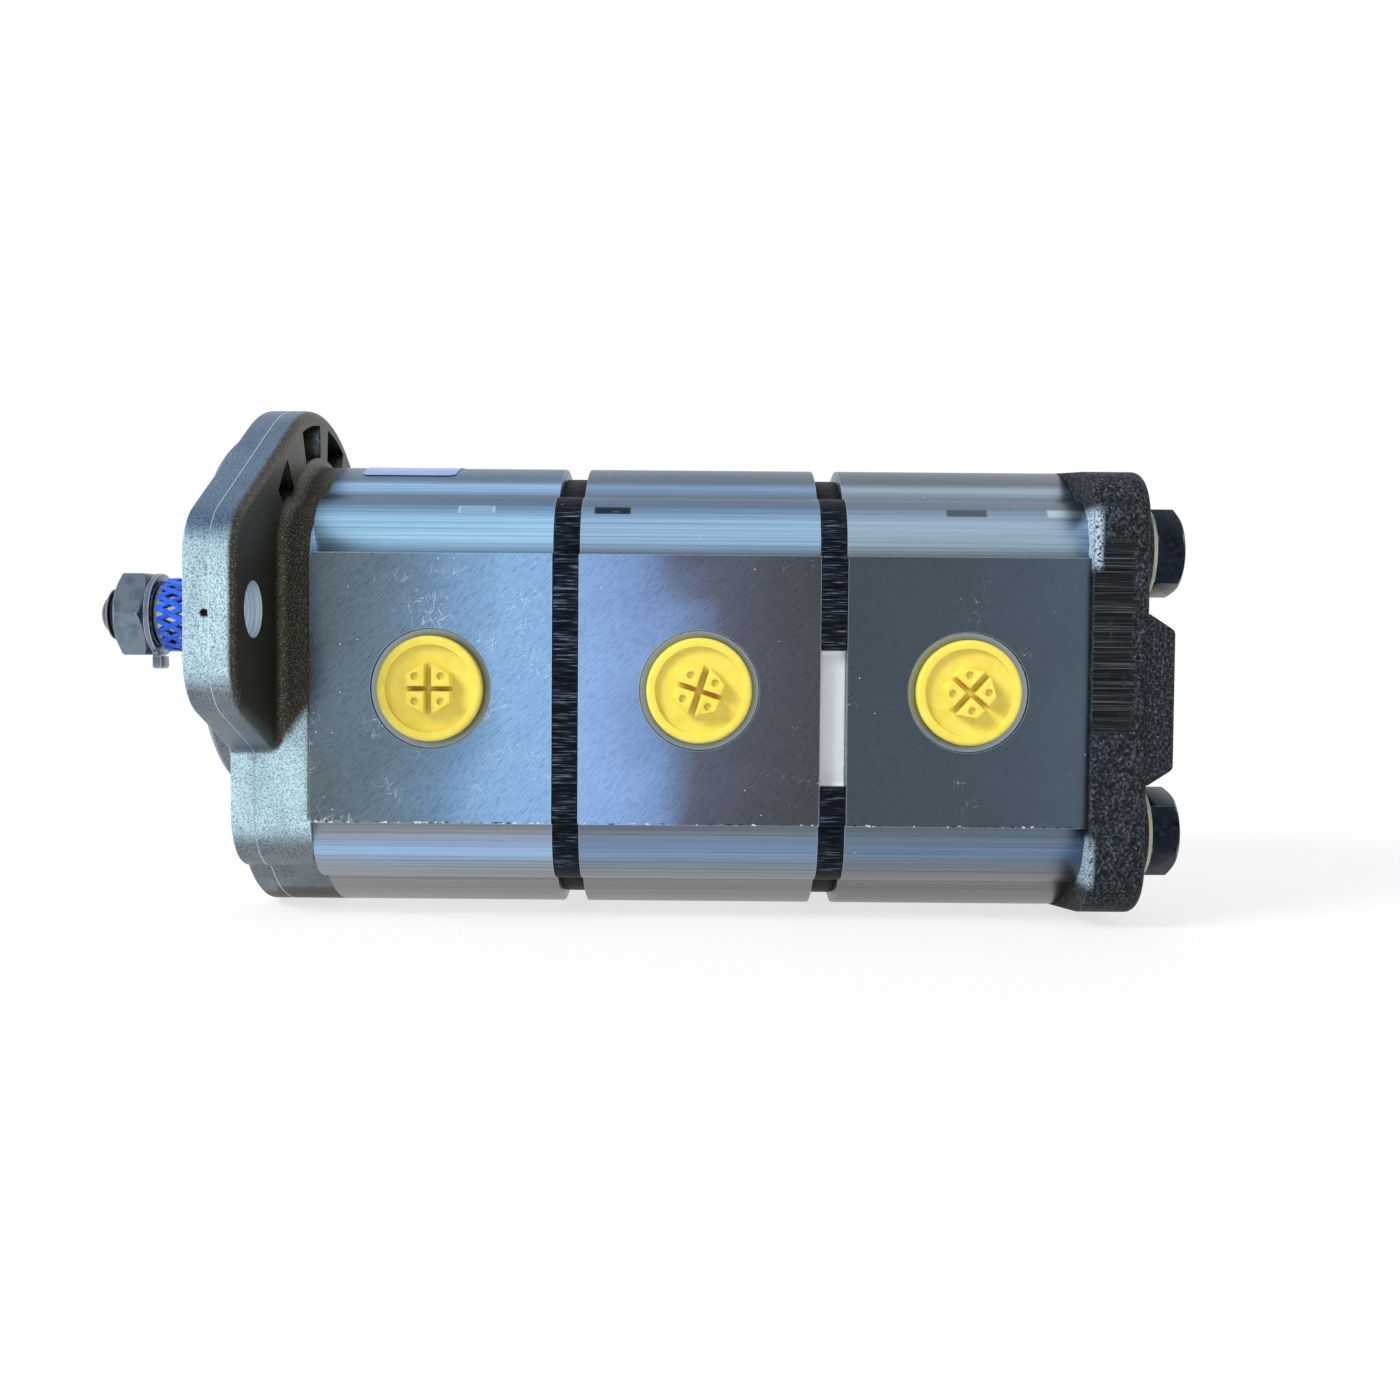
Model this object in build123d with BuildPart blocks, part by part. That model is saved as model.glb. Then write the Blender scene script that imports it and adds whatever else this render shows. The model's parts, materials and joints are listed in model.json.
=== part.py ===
from build123d import *
from math import acos, cos, pi, radians, sin, sqrt, tan
import os

# A triple gear pump: a cast front cover with its mounting flange, three pumping sections on one drive line,
# an intermediate plate between each pair of sections, a rear cover, and four long bolts through them all.
# X runs back along the drive shaft from the flange's mounting face, Y goes across, Z goes up, and the origin
# is where the shaft's axis crosses that face. The driven gears lie below the drive line.

# Gears
tooth_count = 10
gear_module = 3.175
pressure_angle = 28.0
gear_width = 18.0
flank_thinning = 0.06
tip_clearance = 0.05
side_clearance = 0.05
root_depth_share = 1.2
centre_distance = tooth_count * gear_module
pitch_radius = centre_distance / 2
tip_radius = pitch_radius + gear_module
root_radius = pitch_radius - root_depth_share * gear_module
base_radius = pitch_radius * cos(radians(pressure_angle))
mid_z = -centre_distance / 2

# Journals, bushes and bearing blocks
journal_radius = 8.5
journal_clearance = 0.05
bush_radius = 9.5
press_gap = 0.02
block_length = 16.5
block_clearance = 0.03
journal_end_gap = 0.5
journal_chamfer = 0.5
driven_bore_radius = 2.5
relief_pocket = (5.0, 8.0, 1.5)

# Lengths along the shaft
section_count = 3
section_length = gear_width + 2 * block_length
plate_thickness = 5.5
flange_thickness = 10.2
front_cover_depth = 17.0
rear_cover_thickness = 12.2
bolt_land_height = 1.7
pilot_length = 6.35
section_starts = [front_cover_depth + i * (section_length + plate_thickness) for i in range(section_count)]
rear_start = section_starts[-1] + section_length
rear_face = rear_start + rear_cover_thickness
land_face = rear_face + bolt_land_height

# Extruded casing profile
casing_top_radius = 34.6
casing_lobe_radius = 11.3
casing_half_width = 38.0
pad_half_height = 28.5
waist_radius = 2.5
chamber_radius = tip_radius + tip_clearance

# Through bolts, M10
bolt_y = 24.0
bolt_z = 30.4
bolt_radius = 5.0
bolt_hole_radius = 5.25
bolt_thread_hole_radius = 4.25
bolt_thread_depth = 14.0
bolt_tip_gap = 2.0
bolt_head_flats = 17.0
bolt_head_height = 6.4
bolt_washer_radius = 10.0
bolt_washer_thickness = 1.6
bolt_spotface_radius = 10.6
bolt_spotface_depth = 0.5
bolt_seat = land_face - bolt_spotface_depth
bolt_points = [(y, mid_z + z) for y in (-bolt_y, bolt_y) for z in (-bolt_z, bolt_z)]
bolt_head_turns = [20.0, 43.0, 5.0, 32.0]
hex_corner_drop = 0.3
hex_chamfer_angle = 30.0

# Dowels between the casings
dowel_y = 30.0
dowel_z = 19.0
dowel_radius = 2.5
dowel_gap = 0.02
dowel_depth = 6.0
dowel_end_gap = 0.5
dowel_points = [(y, mid_z + dowel_z) for y in (-dowel_y, dowel_y)]

# Seals
ring_inner_radius = 20.0
ring_width = 1.8
ring_depth = 1.3
pressure_seal_inner_radius = 14.2
pressure_seal_width = 2.2
pressure_seal_depth = 2.4
backup_width = 1.2
pressure_side_y = 9.0

# Front cover
flange_radius = 47.4
flange_lower_radius = 41.3
flange_bolt_y = 53.2
flange_bolt_hole_radius = 5.6
flange_end_wall = 5.9
flange_reach = flange_bolt_y + flange_bolt_hole_radius + flange_end_wall
flange_corner_radius = 12.0
flange_corner_z = 9.6
flange_edge_radius = 2.0
flange_front_edge_radius = 0.8
flange_root_radius = 2.2
cover_side_step = 1.0
cover_half_width = casing_half_width - cover_side_step
cover_lobe_radius = 12.6
cover_lobe_y = cover_half_width - cover_lobe_radius
cover_lobe_z = 26.8
cover_lobe_points = [(y, mid_z + z) for y in (-cover_lobe_y, cover_lobe_y)
                     for z in (-cover_lobe_z, cover_lobe_z)]
pilot_radius = 41.275
pilot_chamfer = 1.2
recess_inner_radius = 24.0
recess_outer_radius = 36.0
recess_depth = 5.0
pocket_inner_radius = 36.4
pocket_outer_radius = 44.2
pocket_depth = 6.0
pocket_angles = [(4.5, 24.0), (42.0, 55.0)]

# Shaft seal, held by a snap ring
seal_radius = 17.5
seal_width = 7.0
seal_gap = 0.05
seal_case_wall = 1.6
seal_web = 2.2
seal_lip_root = 2.4
seal_lip_step = 0.9
seal_lip_end = 1.4
seal_lip_edge = 1.0
snap_ring_thickness = 1.4
snap_ring_inner_radius = 15.4
snap_ring_outer_radius = 18.6
snap_ring_opening = 9.0
seal_bore_floor = 2.6

# Drive shaft end
seal_land_radius = 9.0
shaft_passage_radius = 9.5
taper_end_x = -8.0
taper_length = 19.2
taper_ratio = 1 / 8
taper_large_radius = 8.6
taper_small_radius = taper_large_radius - taper_length * taper_ratio / 2
taper_start_x = taper_end_x - taper_length
thread_radius = 6.0
thread_root_radius = 5.2
thread_pitch = 1.5
thread_relief = 1.2
thread_end_drop = 0.4
thread_dome_height = 2.2
thread_crest = (0.45, 0.6)
shaft_end_x = -41.8
washer_thickness = 1.4
washer_radius = 9.7
washer_bore_gap = 0.15
washer_back_x = taper_start_x - 0.4
tab_width = 5.0
tab_offset_y = -1.5
tab_length = 2.2
tab_drop = 3.0
tab_corner_radius = 0.8
nut_flats = 19.0
nut_height = 7.1
nut_front_x = washer_back_x - washer_thickness - nut_height

# Woodruff key
key_width = 4.0
key_radius = 6.5
key_height = 5.0
key_stand = 1.9
key_x = -16.6
key_gap = 0.02

# Protective net on the taper
net_gap = 0.25
net_thickness = 0.9
net_start_x = washer_back_x + 1.2
net_end_x = -7.0
net_slot_gap = 0.4

# Couplings between the sections
tang_thickness = 7.0
tang_width = 14.0
tang_gap = 0.06
coupling_radius = 10.0
coupling_hole_radius = 11.0
coupling_recess = 4.25
coupling_end_gap = 0.25
tang_length = 5.2
coupling_chamfer = 0.5

# Ports
outlet_spotface_radius = 12.6
spotface_depth = 1.0
outlet_thread_radius = 6.7
outlet_passage_radius = 5.0
inlet_spotface_radius = 17.0
inlet_thread_radius = 10.5
inlet_passage_radius = 8.0
thread_depth = 13.0
chamber_reach = 8.0

# Port plugs
plug_gap = 0.3
plug_rib_count = 3
plug_rib_height = 0.2
plug_rib_width = 0.8
plug_depth = 9.0
outlet_cap_radius = 11.1
inlet_cap_radius = 15.2
cap_edge_radius = 0.8
cap_thickness = 2.6
cap_rim_width = 1.9
cap_recess = 1.1
cap_wall = 1.6
grip_half_width = 4.9
grip_half_height = 5.4
grip_corner = 3.1
grip_lobe_flat = 0.6
grip_height = 2.6
grip_slot_upright = 1.0
grip_slot_level = 0.6
grip_taper = 6.0
dimple_radius = 0.75
dimple_depth = 0.7
plug_turns = [0.0, -18.0, -42.0]

# Relief cut in the side of the second intermediate plate
relief_low = -20.5
relief_high = 9.0
relief_depth = 3.0
relief_corner = 2.0

# Intermediate plate and rear cover outlines
plate_top_step = 2.3
plate_side_step = 0.2
plate_top_radius = casing_top_radius - plate_top_step
plate_half_width = casing_half_width - plate_side_step
rear_overhang = 1.4
rear_half_width = casing_half_width + rear_overhang
rear_corner_radius = 11.0
rear_corner_z = 36.5
rear_edge_radius = 2.2
bolt_land_radius = 12.0
bolt_land_edge_radius = 1.2
boss_half_width = 38.4
boss_half_height = 18.0
boss_offset_z = -1.2
boss_height = 5.8
boss_slope = 3.8
boss_edge_radius = 1.8

# Label on the first section
label_start_x = 22.5
label_length = 21.2
label_thickness = 0.2
label_from = 66.0
label_to = 104.0


def save(piece, name):
    """Label a finished piece and write its file."""
    piece.part.label = name
    export_step(piece.part, f"parts/{name}.step")


def across(x):
    """The plane across the shaft at x, with Y and Z as its own axes."""
    return Plane.YZ.offset(x)


def port_plane(x, y, turn=0.0):
    """A plane on a side pad, facing outwards, turned about its own middle by some degrees."""
    outwards = 1 if y > 0 else -1
    angle = radians(turn)
    return Plane(origin=(x, y, mid_z), x_dir=(-outwards * cos(angle), 0, sin(angle)), z_dir=(0, outwards, 0))


def gear_circles(radius):
    """A circle about each gear axis."""
    with Locations((0, 0), (0, -centre_distance)):
        Circle(radius)


def casing_outline(outline, top_radius, lobe_radius, half_width, flat_half_height, lobe_points):
    """Two arcs about the gear axes, four bolt lobes and a flat pad on each side."""
    gear_circles(top_radius)
    with Locations((0, mid_z)):
        Rectangle(2 * half_width, 2 * flat_half_height)
    with Locations(*lobe_points):
        Circle(lobe_radius)
    waists = [v for v in outline.vertices() if abs(v.Y - mid_z) > bolt_z + lobe_radius / 2]
    fillet(waists, waist_radius)


def racetrack(inner_radius, width):
    """A closed band round both gear axes."""
    with Locations((0, mid_z)):
        SlotCenterToCenter(centre_distance, 2 * (inner_radius + width), rotation=90)
        SlotCenterToCenter(centre_distance, 2 * inner_radius, rotation=90, mode=Mode.SUBTRACT)


def pressure_band(inner_radius, width):
    """A band shaped like a figure three, round the pressure side of both journals."""
    gear_circles(inner_radius + width)
    with Locations((0, 0), (0, -centre_distance)):
        Circle(inner_radius, mode=Mode.SUBTRACT)
    with Locations((pressure_side_y + chamber_radius, mid_z)):
        Rectangle(2 * chamber_radius, 4 * chamber_radius, mode=Mode.SUBTRACT)


def involute_point(radius, half_angle_at_pitch):
    """A point of a tooth's flank at a radius, as a distance from the tooth's middle line."""
    def involute(angle):
        return tan(angle) - angle
    at_pitch = involute(radians(pressure_angle))
    here = involute(acos(min(1.0, base_radius / radius)))
    half_angle = half_angle_at_pitch + at_pitch - here
    return radius, half_angle


def gear_outline(centre_z, first_tooth):
    """The outline of one gear, drawn about (0, centre_z), with a tooth centred at the angle first_tooth."""
    half_tooth = pi / (2 * tooth_count) - flank_thinning / pitch_radius
    flank = [involute_point(r, half_tooth) for r in (base_radius, pitch_radius, tip_radius)]
    root_half_angle = flank[0][1]

    def at(radius, angle):
        return radius * cos(angle), centre_z + radius * sin(angle)

    with BuildLine(mode=Mode.PRIVATE) as outline:
        for k in range(tooth_count):
            middle = radians(first_tooth) + k * 2 * pi / tooth_count
            gap_middle = middle + pi / tooth_count
            following = middle + 2 * pi / tooth_count
            Line(at(root_radius, middle - root_half_angle), at(base_radius, middle - root_half_angle))
            ThreePointArc(*[at(r, middle - a) for r, a in flank])
            tip_half_angle = flank[-1][1]
            ThreePointArc(at(tip_radius, middle - tip_half_angle), at(tip_radius, middle),
                          at(tip_radius, middle + tip_half_angle))
            ThreePointArc(*[at(r, middle + a) for r, a in reversed(flank)])
            Line(at(base_radius, middle + root_half_angle), at(root_radius, middle + root_half_angle))
            ThreePointArc(at(root_radius, middle + root_half_angle), at(root_radius, gap_middle),
                          at(root_radius, following - root_half_angle))
    make_face(outline.edges())


def hex_corner_cut(flats, length, both_ends):
    """The profile, in X and radius, that takes the corners off a hexagon's outer ends."""
    inner = flats / 2 - hex_corner_drop
    reach = flats / sqrt(3) + hex_corner_drop
    drop = (reach - inner) * tan(radians(hex_chamfer_angle))
    Polygon((length, inner), (length, reach), (length - drop, reach), align=None)
    if both_ends:
        Polygon((0, inner), (0, reach), (drop, reach), align=None)


os.makedirs("parts", exist_ok=True)


# Front cover: flange, pilot and bolted end of the casing in one casting
with BuildPart() as front_cover:
    with BuildSketch(across(0)):
        Circle(flange_lower_radius)
        with BuildLine():
            CenterArc((0, 0), flange_radius, 0, 180)
            Line((-flange_radius, 0), (flange_radius, 0))
        make_face()
        corner_y = flange_reach - flange_corner_radius
        with GridLocations(2 * corner_y, 2 * flange_corner_z, 2, 2):
            Circle(flange_corner_radius)
        make_hull()
    extrude(amount=flange_thickness)
    fillet(front_cover.faces().sort_by(Axis.X)[-1].edges(), flange_edge_radius)
    with BuildSketch(across(0)) as cover_body:
        casing_outline(cover_body, casing_top_radius, cover_lobe_radius, cover_half_width,
                       cover_lobe_z, cover_lobe_points)
    extrude(amount=front_cover_depth)
    roots = front_cover.edges(Select.NEW).filter_by_position(Axis.X, flange_thickness, flange_thickness)
    fillet(roots, flange_root_radius)
    fillet(front_cover.faces().sort_by(Axis.X)[0].edges(), flange_front_edge_radius)
    with BuildSketch(across(0)):
        Circle(pilot_radius)
    extrude(amount=-pilot_length)
    chamfer(front_cover.faces().sort_by(Axis.X)[0].edges(), pilot_chamfer)
    with BuildSketch(across(-pilot_length)):
        Circle(recess_outer_radius)
        Circle(recess_inner_radius, mode=Mode.SUBTRACT)
    extrude(amount=recess_depth, mode=Mode.SUBTRACT)
    with BuildSketch(across(-pilot_length)):
        Circle(seal_radius)
    extrude(amount=pilot_length + seal_bore_floor, mode=Mode.SUBTRACT)
    with BuildSketch(across(seal_bore_floor - seal_width - snap_ring_thickness - 2 * seal_gap)):
        Circle(snap_ring_outer_radius + seal_gap)
    extrude(amount=snap_ring_thickness + 2 * seal_gap, mode=Mode.SUBTRACT)
    with BuildSketch(across(0)):
        Circle(shaft_passage_radius)
    extrude(amount=front_cover_depth, mode=Mode.SUBTRACT)
    with BuildSketch(across(flange_thickness)):
        for low, high in pocket_angles:
            for start in (90 + low, 90 - high):
                span = high - low
                with BuildLine():
                    outer = CenterArc((0, 0), pocket_outer_radius, start, span)
                    inner = CenterArc((0, 0), pocket_inner_radius, start, span)
                    Line(outer @ 0, inner @ 0)
                    Line(outer @ 1, inner @ 1)
                make_face()
    extrude(amount=-pocket_depth, mode=Mode.SUBTRACT)
    with Locations(across(flange_thickness)):
        with Locations((-flange_bolt_y, 0), (flange_bolt_y, 0)):
            Hole(flange_bolt_hole_radius, depth=flange_thickness)
    with Locations(across(front_cover_depth)):
        with Locations(*bolt_points):
            Hole(bolt_thread_hole_radius, depth=bolt_thread_depth)
        with Locations(*dowel_points):
            Hole(dowel_radius + dowel_gap, depth=dowel_depth)
save(front_cover, "front_cover")


# Shaft seal in the front cover, and the snap ring that holds it
seal_back_x = seal_bore_floor - seal_gap
with BuildPart() as shaft_seal:
    lip_radius = seal_land_radius + seal_gap
    body_radius = seal_radius - seal_gap
    with BuildSketch():
        with BuildLine():
            web_x = seal_back_x - seal_width + seal_web
            lip_end_x = seal_back_x - seal_lip_end
            Polyline((seal_back_x - seal_width, body_radius), (seal_back_x, body_radius),
                     (seal_back_x, body_radius - seal_case_wall), (web_x, body_radius - seal_case_wall),
                     (web_x, lip_radius + seal_lip_root), (lip_end_x, lip_radius + seal_lip_root),
                     (lip_end_x, lip_radius + seal_lip_step), (lip_end_x - seal_lip_edge, lip_radius),
                     (lip_end_x - 2 * seal_lip_edge, lip_radius + seal_lip_step),
                     (seal_back_x - seal_width, lip_radius + seal_lip_step), close=True)
        make_face()
    revolve(axis=Axis.X)
save(shaft_seal, "shaft_seal")

with BuildPart() as seal_snap_ring:
    with BuildSketch(across(seal_back_x - seal_width - snap_ring_thickness)):
        Circle(snap_ring_outer_radius)
        Circle(snap_ring_inner_radius, mode=Mode.SUBTRACT)
        with Locations((0, -snap_ring_outer_radius)):
            Rectangle(snap_ring_opening, snap_ring_outer_radius, mode=Mode.SUBTRACT)
    extrude(amount=snap_ring_thickness)
save(seal_snap_ring, "seal_snap_ring")


# Drive line: the shaft with the first gear, and the two gears that it turns through couplings
def gear_x(section):
    """Where a section's gear starts."""
    return section_starts[section] + block_length


def tang_start(section, forward):
    """Where a drive gear's journal ends and its tang begins, ahead of the gear or behind it."""
    if forward:
        return section_starts[section] + coupling_recess - coupling_end_gap
    return section_starts[section] + section_length - coupling_recess + coupling_end_gap


key_flat_z = -(taper_large_radius - (taper_end_x - key_x) * taper_ratio / 2 + key_stand)
key_centre_z = key_flat_z + key_height - key_radius

with BuildPart() as drive_shaft:
    with BuildSketch():
        with BuildLine():
            thread_end_x = taper_start_x - thread_relief
            dome_x = shaft_end_x + thread_dome_height
            turns = int((thread_end_x - dome_x) / thread_pitch)
            crests = [(dome_x, thread_root_radius - thread_end_drop)]
            for turn in range(turns):
                turn_x = dome_x + turn * thread_pitch
                crests += [(turn_x + share * thread_pitch, thread_radius) for share in thread_crest]
                crests += [(turn_x + thread_pitch, thread_root_radius)]
            journal_start = section_starts[0] + journal_end_gap
            last_x = tang_start(0, False)
            Polyline(*crests, (taper_start_x, thread_root_radius), (taper_start_x, taper_small_radius),
                     (taper_end_x, taper_large_radius), (taper_end_x, seal_land_radius),
                     (journal_start, seal_land_radius), (journal_start, journal_radius),
                     (last_x, journal_radius), (last_x, 0), (shaft_end_x, 0))
            TangentArc((shaft_end_x, 0), crests[0], tangent=(0, 1))
        make_face()
    revolve(axis=Axis.X)
    with BuildSketch(across(gear_x(0))):
        gear_outline(0, -90)
    extrude(amount=gear_width)
    with BuildSketch(across(last_x)):
        Rectangle(tang_thickness, tang_width)
    extrude(amount=tang_length)
    with BuildSketch(Plane.XZ.offset(-key_width / 2 - key_gap)):
        with Locations((key_x, key_centre_z)):
            Circle(key_radius + key_gap)
    extrude(amount=key_width + 2 * key_gap, mode=Mode.SUBTRACT)
save(drive_shaft, "drive_shaft")

for section in range(1, section_count):
    with BuildPart() as drive_gear:
        front_x = tang_start(section, True)
        is_last = section == section_count - 1
        back_x = tang_start(section, False)
        if is_last:
            back_x = section_starts[section] + section_length - journal_end_gap
        with BuildSketch(across(front_x)):
            Circle(journal_radius)
        extrude(amount=back_x - front_x)
        with BuildSketch(across(gear_x(section))):
            gear_outline(0, -90)
        extrude(amount=gear_width)
        with BuildSketch(across(front_x)):
            Rectangle(tang_thickness, tang_width)
        extrude(amount=-tang_length)
        if not is_last:
            with BuildSketch(across(back_x)):
                Rectangle(tang_thickness, tang_width)
            extrude(amount=tang_length)
    save(drive_gear, f"drive_gear_{section + 1}")

for section in range(section_count):
    with BuildPart() as driven_gear:
        front_x = section_starts[section] + journal_end_gap
        back_x = section_starts[section] + section_length - journal_end_gap
        with BuildSketch(across(front_x)):
            with Locations((0, -centre_distance)):
                Circle(journal_radius)
        extrude(amount=back_x - front_x)
        chamfer(driven_gear.edges().filter_by(GeomType.CIRCLE), journal_chamfer)
        with BuildSketch(across(gear_x(section))):
            gear_outline(-centre_distance, 90 + 180 / tooth_count)
        extrude(amount=gear_width)
        with BuildSketch(across(front_x)):
            with Locations((0, -centre_distance)):
                Circle(driven_bore_radius)
        extrude(amount=back_x - front_x, mode=Mode.SUBTRACT)
    save(driven_gear, f"driven_gear_{section + 1}")

for section in range(section_count - 1):
    coupling_start = section_starts[section] + section_length - coupling_recess + 2 * coupling_end_gap
    coupling_length = plate_thickness + 2 * coupling_recess - 4 * coupling_end_gap
    with BuildPart() as coupling:
        with BuildSketch(across(coupling_start)):
            Circle(coupling_radius)
            Rectangle(tang_thickness + 2 * tang_gap, tang_width + 2 * tang_gap, mode=Mode.SUBTRACT)
        extrude(amount=coupling_length)
        chamfer(coupling.edges().filter_by(GeomType.CIRCLE), coupling_chamfer)
    save(coupling, f"coupling_{section + 1}")


# Shaft end: key, tab washer, nut and the protective net
with BuildPart() as shaft_key:
    with BuildSketch(Plane.XZ.offset(-key_width / 2)):
        with Locations((key_x, key_centre_z)):
            Circle(key_radius)
        with Locations((key_x, key_flat_z - key_radius)):
            Rectangle(2 * key_radius, 2 * key_radius, mode=Mode.SUBTRACT)
    extrude(amount=key_width)
save(shaft_key, "shaft_key")

with BuildPart() as tab_washer:
    washer_front_x = washer_back_x - washer_thickness
    with BuildSketch(across(washer_front_x)):
        Circle(washer_radius)
        with Locations((tab_offset_y, -washer_radius)):
            Rectangle(tab_width, 2 * tab_drop)
        Circle(thread_radius + washer_bore_gap, mode=Mode.SUBTRACT)
    extrude(amount=washer_thickness)
    with BuildSketch(across(washer_back_x)):
        with Locations((tab_offset_y, -washer_radius - tab_drop / 2)):
            Rectangle(tab_width, tab_drop)
    extrude(amount=tab_length - washer_thickness)
    corners = tab_washer.edges().filter_by(Axis.Y).sort_by(Axis.Z)[:2]
    fillet(corners, tab_corner_radius)
save(tab_washer, "tab_washer")

with BuildPart() as shaft_nut:
    with BuildSketch(across(nut_front_x)):
        RegularPolygon(nut_flats / 2, 6, major_radius=False)
        Circle(thread_radius + press_gap, mode=Mode.SUBTRACT)
    extrude(amount=nut_height)
    with BuildSketch(Plane.XY):
        with Locations((nut_front_x, 0)):
            hex_corner_cut(nut_flats, nut_height, True)
    revolve(axis=Axis.X, mode=Mode.SUBTRACT)
save(shaft_nut, "shaft_nut")

def net_inner(x):
    """The net's inner radius at x, a little off the taper."""
    return taper_large_radius - (taper_end_x - x) * taper_ratio / 2 + net_gap


with BuildPart() as shaft_net:
    with BuildSketch():
        with BuildLine():
            Polyline((net_start_x, net_inner(net_start_x)), (net_end_x, seal_land_radius + net_gap),
                     (net_end_x, seal_land_radius + net_gap + net_thickness),
                     (net_start_x, net_inner(net_start_x) + net_thickness), close=True)
        make_face()
    revolve(axis=Axis.X)
    with BuildSketch(Plane.XZ.offset(-key_width / 2 - net_slot_gap)):
        with Locations((key_x, key_centre_z)):
            Circle(key_radius + net_slot_gap)
    extrude(amount=key_width + 2 * net_slot_gap, mode=Mode.SUBTRACT)
save(shaft_net, "shaft_net")


# Pumping sections: an extruded casing, two bearing blocks with bushes and seals, and two ringed end faces
def cut_port(x, y, spotface, thread, passage):
    """A spotfaced threaded port, and the passage from it to the gears."""
    with Locations(port_plane(x, y)):
        CounterBoreHole(thread, spotface, spotface_depth, depth=spotface_depth + thread_depth)
        Hole(passage, depth=abs(y) - chamber_reach)


for section in range(section_count):
    start_x = section_starts[section]
    middle_x = start_x + section_length / 2
    with BuildPart() as pump_body:
        with BuildSketch(across(start_x)) as outline:
            casing_outline(outline, casing_top_radius, casing_lobe_radius, casing_half_width,
                           pad_half_height, bolt_points)
        extrude(amount=section_length)
        with BuildSketch(across(start_x)):
            gear_circles(chamber_radius)
        extrude(amount=section_length, mode=Mode.SUBTRACT)
        with Locations(across(start_x + section_length)):
            with Locations(*bolt_points):
                Hole(bolt_hole_radius, depth=section_length)
            with Locations(*dowel_points):
                Hole(dowel_radius + dowel_gap, depth=dowel_depth)
        with BuildSketch(across(start_x)):
            with Locations(*dowel_points):
                Circle(dowel_radius + dowel_gap)
        extrude(amount=dowel_depth, mode=Mode.SUBTRACT)
        for face_x, inwards in ((start_x, 1), (start_x + section_length, -1)):
            with BuildSketch(across(face_x)):
                racetrack(ring_inner_radius, ring_width)
            extrude(amount=inwards * ring_depth, mode=Mode.SUBTRACT)
        cut_port(middle_x, -casing_half_width, outlet_spotface_radius, outlet_thread_radius,
                 outlet_passage_radius)
        cut_port(middle_x, casing_half_width, inlet_spotface_radius, inlet_thread_radius, inlet_passage_radius)
    save(pump_body, f"pump_body_{section + 1}")

    with BuildPart() as body_rings:
        for face_x, inwards in ((start_x, 1), (start_x + section_length, -1)):
            with BuildSketch(across(face_x)):
                racetrack(ring_inner_radius + press_gap, ring_width - 2 * press_gap)
            extrude(amount=inwards * (ring_depth - press_gap))
    save(body_rings, f"body_rings_{section + 1}")

    end_x = start_x + section_length
    block_sides = (("front", start_x, 1, section > 0), ("rear", end_x, -1, section < section_count - 1))
    bush_length = block_length - side_clearance - coupling_recess
    for side, outer_x, inwards, coupled in block_sides:
        block_reach = block_length - side_clearance
        with BuildPart() as bearing_block:
            with BuildSketch(across(outer_x)):
                gear_circles(chamber_radius - block_clearance)
            extrude(amount=inwards * block_reach)
            with BuildSketch(across(outer_x)):
                gear_circles(bush_radius)
            extrude(amount=inwards * block_reach, mode=Mode.SUBTRACT)
            if coupled:
                with BuildSketch(across(outer_x)):
                    Circle(coupling_hole_radius)
                extrude(amount=inwards * coupling_recess, mode=Mode.SUBTRACT)
            with BuildSketch(across(outer_x)):
                pressure_band(pressure_seal_inner_radius, pressure_seal_width)
            extrude(amount=inwards * pressure_seal_depth, mode=Mode.SUBTRACT)
            with BuildSketch(across(outer_x + inwards * block_reach)):
                with Locations((0, mid_z)):
                    Rectangle(relief_pocket[0], relief_pocket[1])
            extrude(amount=-inwards * relief_pocket[2], mode=Mode.SUBTRACT)
        save(bearing_block, f"{side}_bearing_block_{section + 1}")

        with BuildPart() as bushes:
            with BuildSketch(across(outer_x + inwards * block_reach)):
                gear_circles(bush_radius - press_gap)
                with Locations((0, 0), (0, -centre_distance)):
                    Circle(journal_radius + journal_clearance, mode=Mode.SUBTRACT)
            extrude(amount=-inwards * bush_length)
        save(bushes, f"{side}_bushes_{section + 1}")

    with BuildPart() as pressure_seals:
        for side, outer_x, inwards, coupled in block_sides:
            with BuildSketch(across(outer_x + inwards * press_gap)):
                pressure_band(pressure_seal_inner_radius + press_gap, pressure_seal_width - 2 * press_gap)
            extrude(amount=inwards * (pressure_seal_depth - backup_width - press_gap))
    save(pressure_seals, f"pressure_seals_{section + 1}")

    with BuildPart() as backup_rings:
        for side, outer_x, inwards, coupled in block_sides:
            with BuildSketch(across(outer_x + inwards * pressure_seal_depth)):
                pressure_band(pressure_seal_inner_radius + press_gap, pressure_seal_width - 2 * press_gap)
            extrude(amount=-inwards * (backup_width - press_gap))
    save(backup_rings, f"backup_rings_{section + 1}")


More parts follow.
